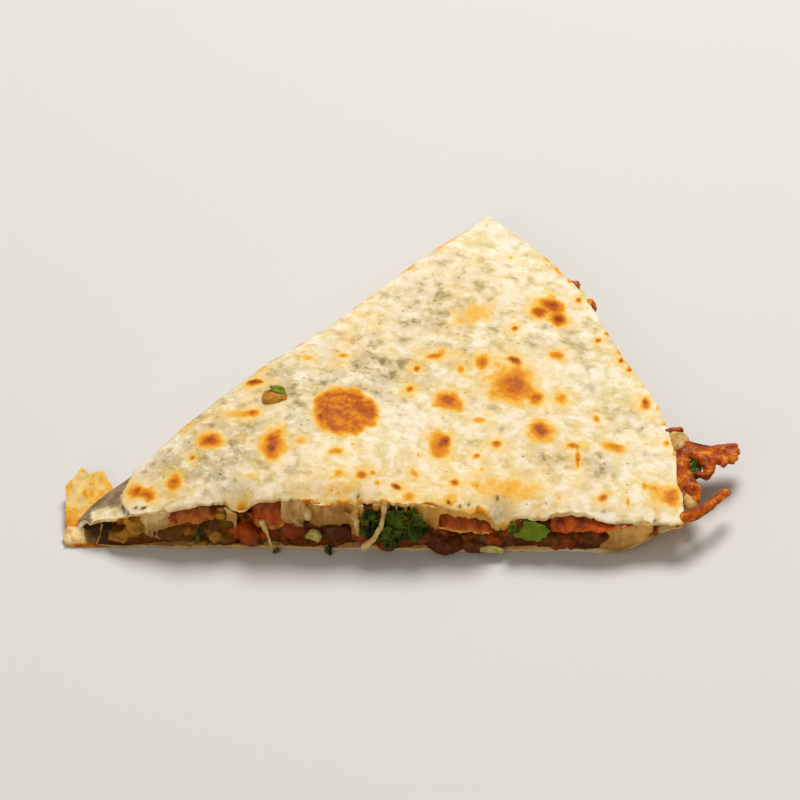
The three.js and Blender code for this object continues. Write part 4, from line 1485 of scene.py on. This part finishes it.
# %% Dough finish
def dough_finish():
    finish = Finish("browned_dough")
    toast, halo, damp = finish.kept("toast"), finish.kept("halo"), finish.kept("damp")
    golden, stain, skin = finish.kept("golden"), finish.kept("stain"), finish.kept("skin")
    cloud = finish.noise(8, 3, 0.6)
    patch = finish.noise(2.6, 3, 0.6, 0.2)
    mottle = finish.noise(1.4, 3, 0.55)
    grain = finish.noise(0.9, 2, 0.6)
    fine = finish.noise(0.4, 2, 0.6)
    # flour and damp
    finish.base = finish.mix(cloud.between(0.36, 0.62), (231, 214, 160), (242, 229, 200))
    finish.layer((1 - patch.between(0.36, 0.54)) * 0.7, (254, 244, 226))
    olive = (patch * 0.55 + mottle * 0.45).between(0.5, 0.66)
    finish.layer(olive * 0.5, (212, 190, 132))
    gold = golden * ((cloud + patch).between(0.75, 1.2) * 0.65 + 0.3)
    finish.layer(gold * 0.75, (236, 190, 98))
    blotch = finish.noise(3.4, 4, 0.62)
    finish.layer(blotch.between(0.36, 0.56) * damp * 0.85, (186, 162, 114))
    finish.layer((1 - mottle.between(0.36, 0.5)) * damp * 0.4, (240, 226, 194))
    # dark grey-brown patches, strongest where the dough is damp, which the bump below also sinks in
    dark_dents = finish.noise(2.6, 3, 0.56).between(0.46, 0.66) * blotch.between(0.46, 0.62)
    finish.layer(dark_dents * (damp * 0.7 + 0.28), (124, 108, 74))
    speck = 1 - finish.cells(1.5).between(0.06, 0.26)
    finish.layer(speck * patch.between(0.4, 0.6) * (damp * 0.35 + 0.28), (150, 134, 90))
    pore = 1 - finish.cells(3.1).between(0.03, 0.11)
    finish.layer(pore * (damp * 0.4 + 0.4), (110, 82, 46))
    # the damp skin: grey-brown see-through dough, deepened with painted shade
    membrane_tint_and_shade = finish.mix(patch.between(0.35, 0.65), (106, 84, 38), (156, 130, 104))
    finish.layer(skin * 0.95, membrane_tint_and_shade)
    # browning
    finish.layer(halo * (patch.between(0.3, 0.62) * 0.6 + 0.3), (244, 204, 112))
    lit = (toast * 6).least(1)
    brown = toast * (patch * 1.0 + mottle * 0.8 + 0.1) + (grain - 0.5) * 0.18 * lit + (fine - 0.5) * 0.1 * lit
    browned = finish.ramp(
        brown,
        [
            (0.04, (246, 212, 126)), (0.2, (240, 182, 68)), (0.38, (222, 136, 10)), (0.58, (184, 88, 0)),
            (0.82, (122, 50, 0)), (1.0, (70, 28, 2)),
        ],
    )
    finish.layer(brown.between(0.02, 0.24), browned)
    greasy = finish.mix(patch.between(0.35, 0.65), (160, 98, 26), (222, 174, 92))
    finish.layer(stain * 0.9, greasy)
    # crumb: the dough's creamy inside, lightened with painted light on the shaded cut walls and the point
    crumb = finish.mix(patch.between(0.42, 0.6), (254, 226, 162), (226, 168, 84))
    finish.layer(finish.kept("crumb") * (1 - brown.between(0.15, 0.4)) * 0.8, crumb)
    # painted shade in the hollow and the crack at the point, and the burnt specks
    finish.layer(finish.kept("shade_and_specks") * 0.95, (84, 48, 12))
    height = grain * 0.4 + fine * 0.2 + mottle * 0.9 + patch * 1.2 - dark_dents * damp * 0.7 - pore
    return finish.done(
        0.76 - brown.between(0.1, 0.6) * 0.22 - olive * 0.1,
        finish.bump(height, 0.26, 0.8),
        specular=0.14,
        soft=(0.1, (1.5, 0.9, 0.5)),
    )


finish_pieces(dough_finish(), "tortilla_sheet", "torn_scrap", "tip_nose", "rim_sliver")


# %% [markdown]
# ## Meat
#
# Each crumb kept a tone: olive where it is soft onion and spice, dark and brown where it is seared, orange
# and pink where the red sauce shows. Grease makes it glossy in patches. Painted shade darkens the gaps
# between crumbs and the tops of the lips, and painted light brightens the lips' lower ridges.


# %% Meat finish
def meat_finish():
    finish = Finish("minced_meat")
    tone, groove = finish.kept("tone"), finish.kept("groove")
    lump = finish.noise(1.8, 4, 0.6)
    grain = finish.noise(0.5, 3, 0.65)
    shade = tone + (lump - 0.5) * 0.55 + (grain - 0.5) * 0.2
    finish.base = finish.ramp(
        shade,
        [
            (-0.4, (186, 128, 36)), (-0.1, (118, 74, 4)), (0.2, (84, 36, 0)), (0.4, (116, 58, 2)),
            (0.6, (138, 54, 0)), (0.8, (172, 70, 0)), (1.0, (186, 106, 38)), (1.2, (220, 150, 58)),
            (1.4, (248, 196, 110)),
        ],
    )
    finish.layer((1 - lump.between(0.3, 0.45)) * 0.5, (60, 24, 2))
    finish.layer(finish.kept("sauce") * (lump * 0.7 + 0.35), (236, 100, 26))
    # painted shade between the crumbs and under the upper layer
    finish.layer(groove * 0.65, (58, 22, 2))
    grease = finish.noise(2.2, 2).between(0.4, 0.65)
    return finish.done(
        0.46 - grease * 0.2,
        finish.bump(grain * 0.4 + lump, 0.3, 0.5),
        specular=0.1,
        coat=(0.12, 0.1),
        soft=(0.08, (1.0, 0.4, 0.2)),
    )


meat_pieces = [name for name in made_pieces if name.startswith("meat_")]
finish_pieces(meat_finish(), *meat_pieces, "garnish_bit")


# %% [markdown]
# ## Cheese, onion, green and crisp
#
# Melted cheese is pale and slightly see-through, stained orange by the meat's grease. Onion is clearer and
# wetter. The leaves are dark green with pale veins, and the fried cheese runs from gold to dark red-brown.


# %% Cheese finish
def cheese_finish():
    finish = Finish("melted_cheese_skin")
    stain = finish.noise(3.0, 3, 0.6).between(0.42, 0.68)
    cloud = finish.noise(2.4, 3, 0.6)
    finish.base = finish.mix(cloud.between(0.38, 0.62), (206, 150, 64), (176, 118, 38))
    finish.layer(stain * 0.55, (146, 80, 14))
    pale = finish.mix(cloud.between(0.4, 0.6), (232, 204, 138), (202, 164, 92))
    finish.layer(finish.kept("pale") * 0.85, pale)
    finish.layer(finish.kept("gold") * (cloud * 0.8 + 0.4), (232, 168, 52))
    streak = finish.noise(1.7, 3, 0.5, drawn=3.0)
    finish.layer(streak.between(0.48, 0.68) * 0.35, (140, 108, 30))
    finish.layer((1 - streak.between(0.3, 0.5)) * 0.3, (240, 200, 130))
    finish.layer(finish.kept("foot") * 0.5, (120, 68, 14))
    return finish.done(
        0.38,
        finish.bump(finish.noise(1.1, 3, 0.6) + streak, 0.25, 0.5),
        specular=0.16,
        coat=(0.15, 0.14),
        soft=(0.25, (2.0, 1.2, 0.6)),
    )


finish_pieces(cheese_finish(), "cheese_slab", "hanging_cheese", "rim_cheese")


# %% Onion finish
def onion_finish():
    finish = Finish("soft_onion")
    streak = finish.noise(1.2, 2)
    finish.base = finish.mix(streak.between(0.35, 0.65), (196, 182, 100), (158, 140, 48))
    return finish.done(0.3, finish.bump(streak, 0.2, 0.5), coat=(0.2, 0.15), soft=(0.3, (1.5, 1.2, 0.6)))


finish_pieces(onion_finish(), "onion_sliver_1", "onion_sliver_2")


# %% Leaf finish
def leaf_finish():
    finish = Finish("wilted_leaf")
    vein = finish.kept("vein")
    cloud = finish.noise(2.4, 3, 0.6)
    finish.base = finish.mix(cloud.between(0.4, 0.62), (20, 30, 0), (80, 92, 6))
    finish.layer(finish.kept("fresh") * 0.8, (126, 146, 18))
    finish.layer(vein.between(0.3, 0.9) * 0.45, (136, 142, 30))
    return finish.done(
        0.45,
        finish.bump(finish.noise(0.7, 3, 0.6) + vein, 0.15, 0.6),
        specular=0.12,
        coat=(0.08, 0.16),
        soft=(0.15, (0.6, 1.0, 0.3)),
    )


green_pieces = [name for name in made_pieces if name.startswith("green_")]
finish_pieces(leaf_finish(), *green_pieces)


# %% Crisp finish
def crisp_finish():
    finish = Finish("fried_cheese_crust")
    lump = finish.noise(2.8, 3, 0.55)
    grain = finish.noise(0.7, 2, 0.6)
    shade = lump + (grain - 0.5) * 0.2
    finish.base = finish.ramp(
        shade, [(0.3, (98, 34, 0)), (0.4, (146, 58, 0)), (0.54, (186, 82, 0)), (0.68, (228, 142, 34))]
    )
    return finish.done(
        0.48 - grain.between(0.4, 0.7) * 0.15,
        finish.bump(grain * 0.6 + lump, 0.3, 0.7),
        specular=0.1,
        coat=(0.08, 0.16),
        soft=(0.08, (1.0, 0.5, 0.2)),
    )


finish_pieces(crisp_finish(), "crisp_lace", "crisp_finger", "rim_crumbs")


# %% [markdown]
# ## The floor
#
# A plain pale table, wide enough that its edge never shows.

# %% Floor
FLOOR_SIZE = 6.0
FLOOR_GAP = 0.0001  # keeps it clear of the slice's underside
floor_shape = bmesh.new()
bmesh.ops.create_grid(floor_shape, x_segments=1, y_segments=1, size=FLOOR_SIZE / 2)
floor_mesh = mesh_of("floor", floor_shape)
floor_mesh.transform(Matrix.Translation((0, 0, -FLOOR_GAP)))
floor = placed("floor", floor_mesh)
table = Finish("pale_table", (214, 213, 210))
floor_mesh.materials.append(table.done(0.6, table.bump(table.noise(1.5, 2), 0.02, 0.2)))
print("floor:", FLOOR_SIZE, "m wide")
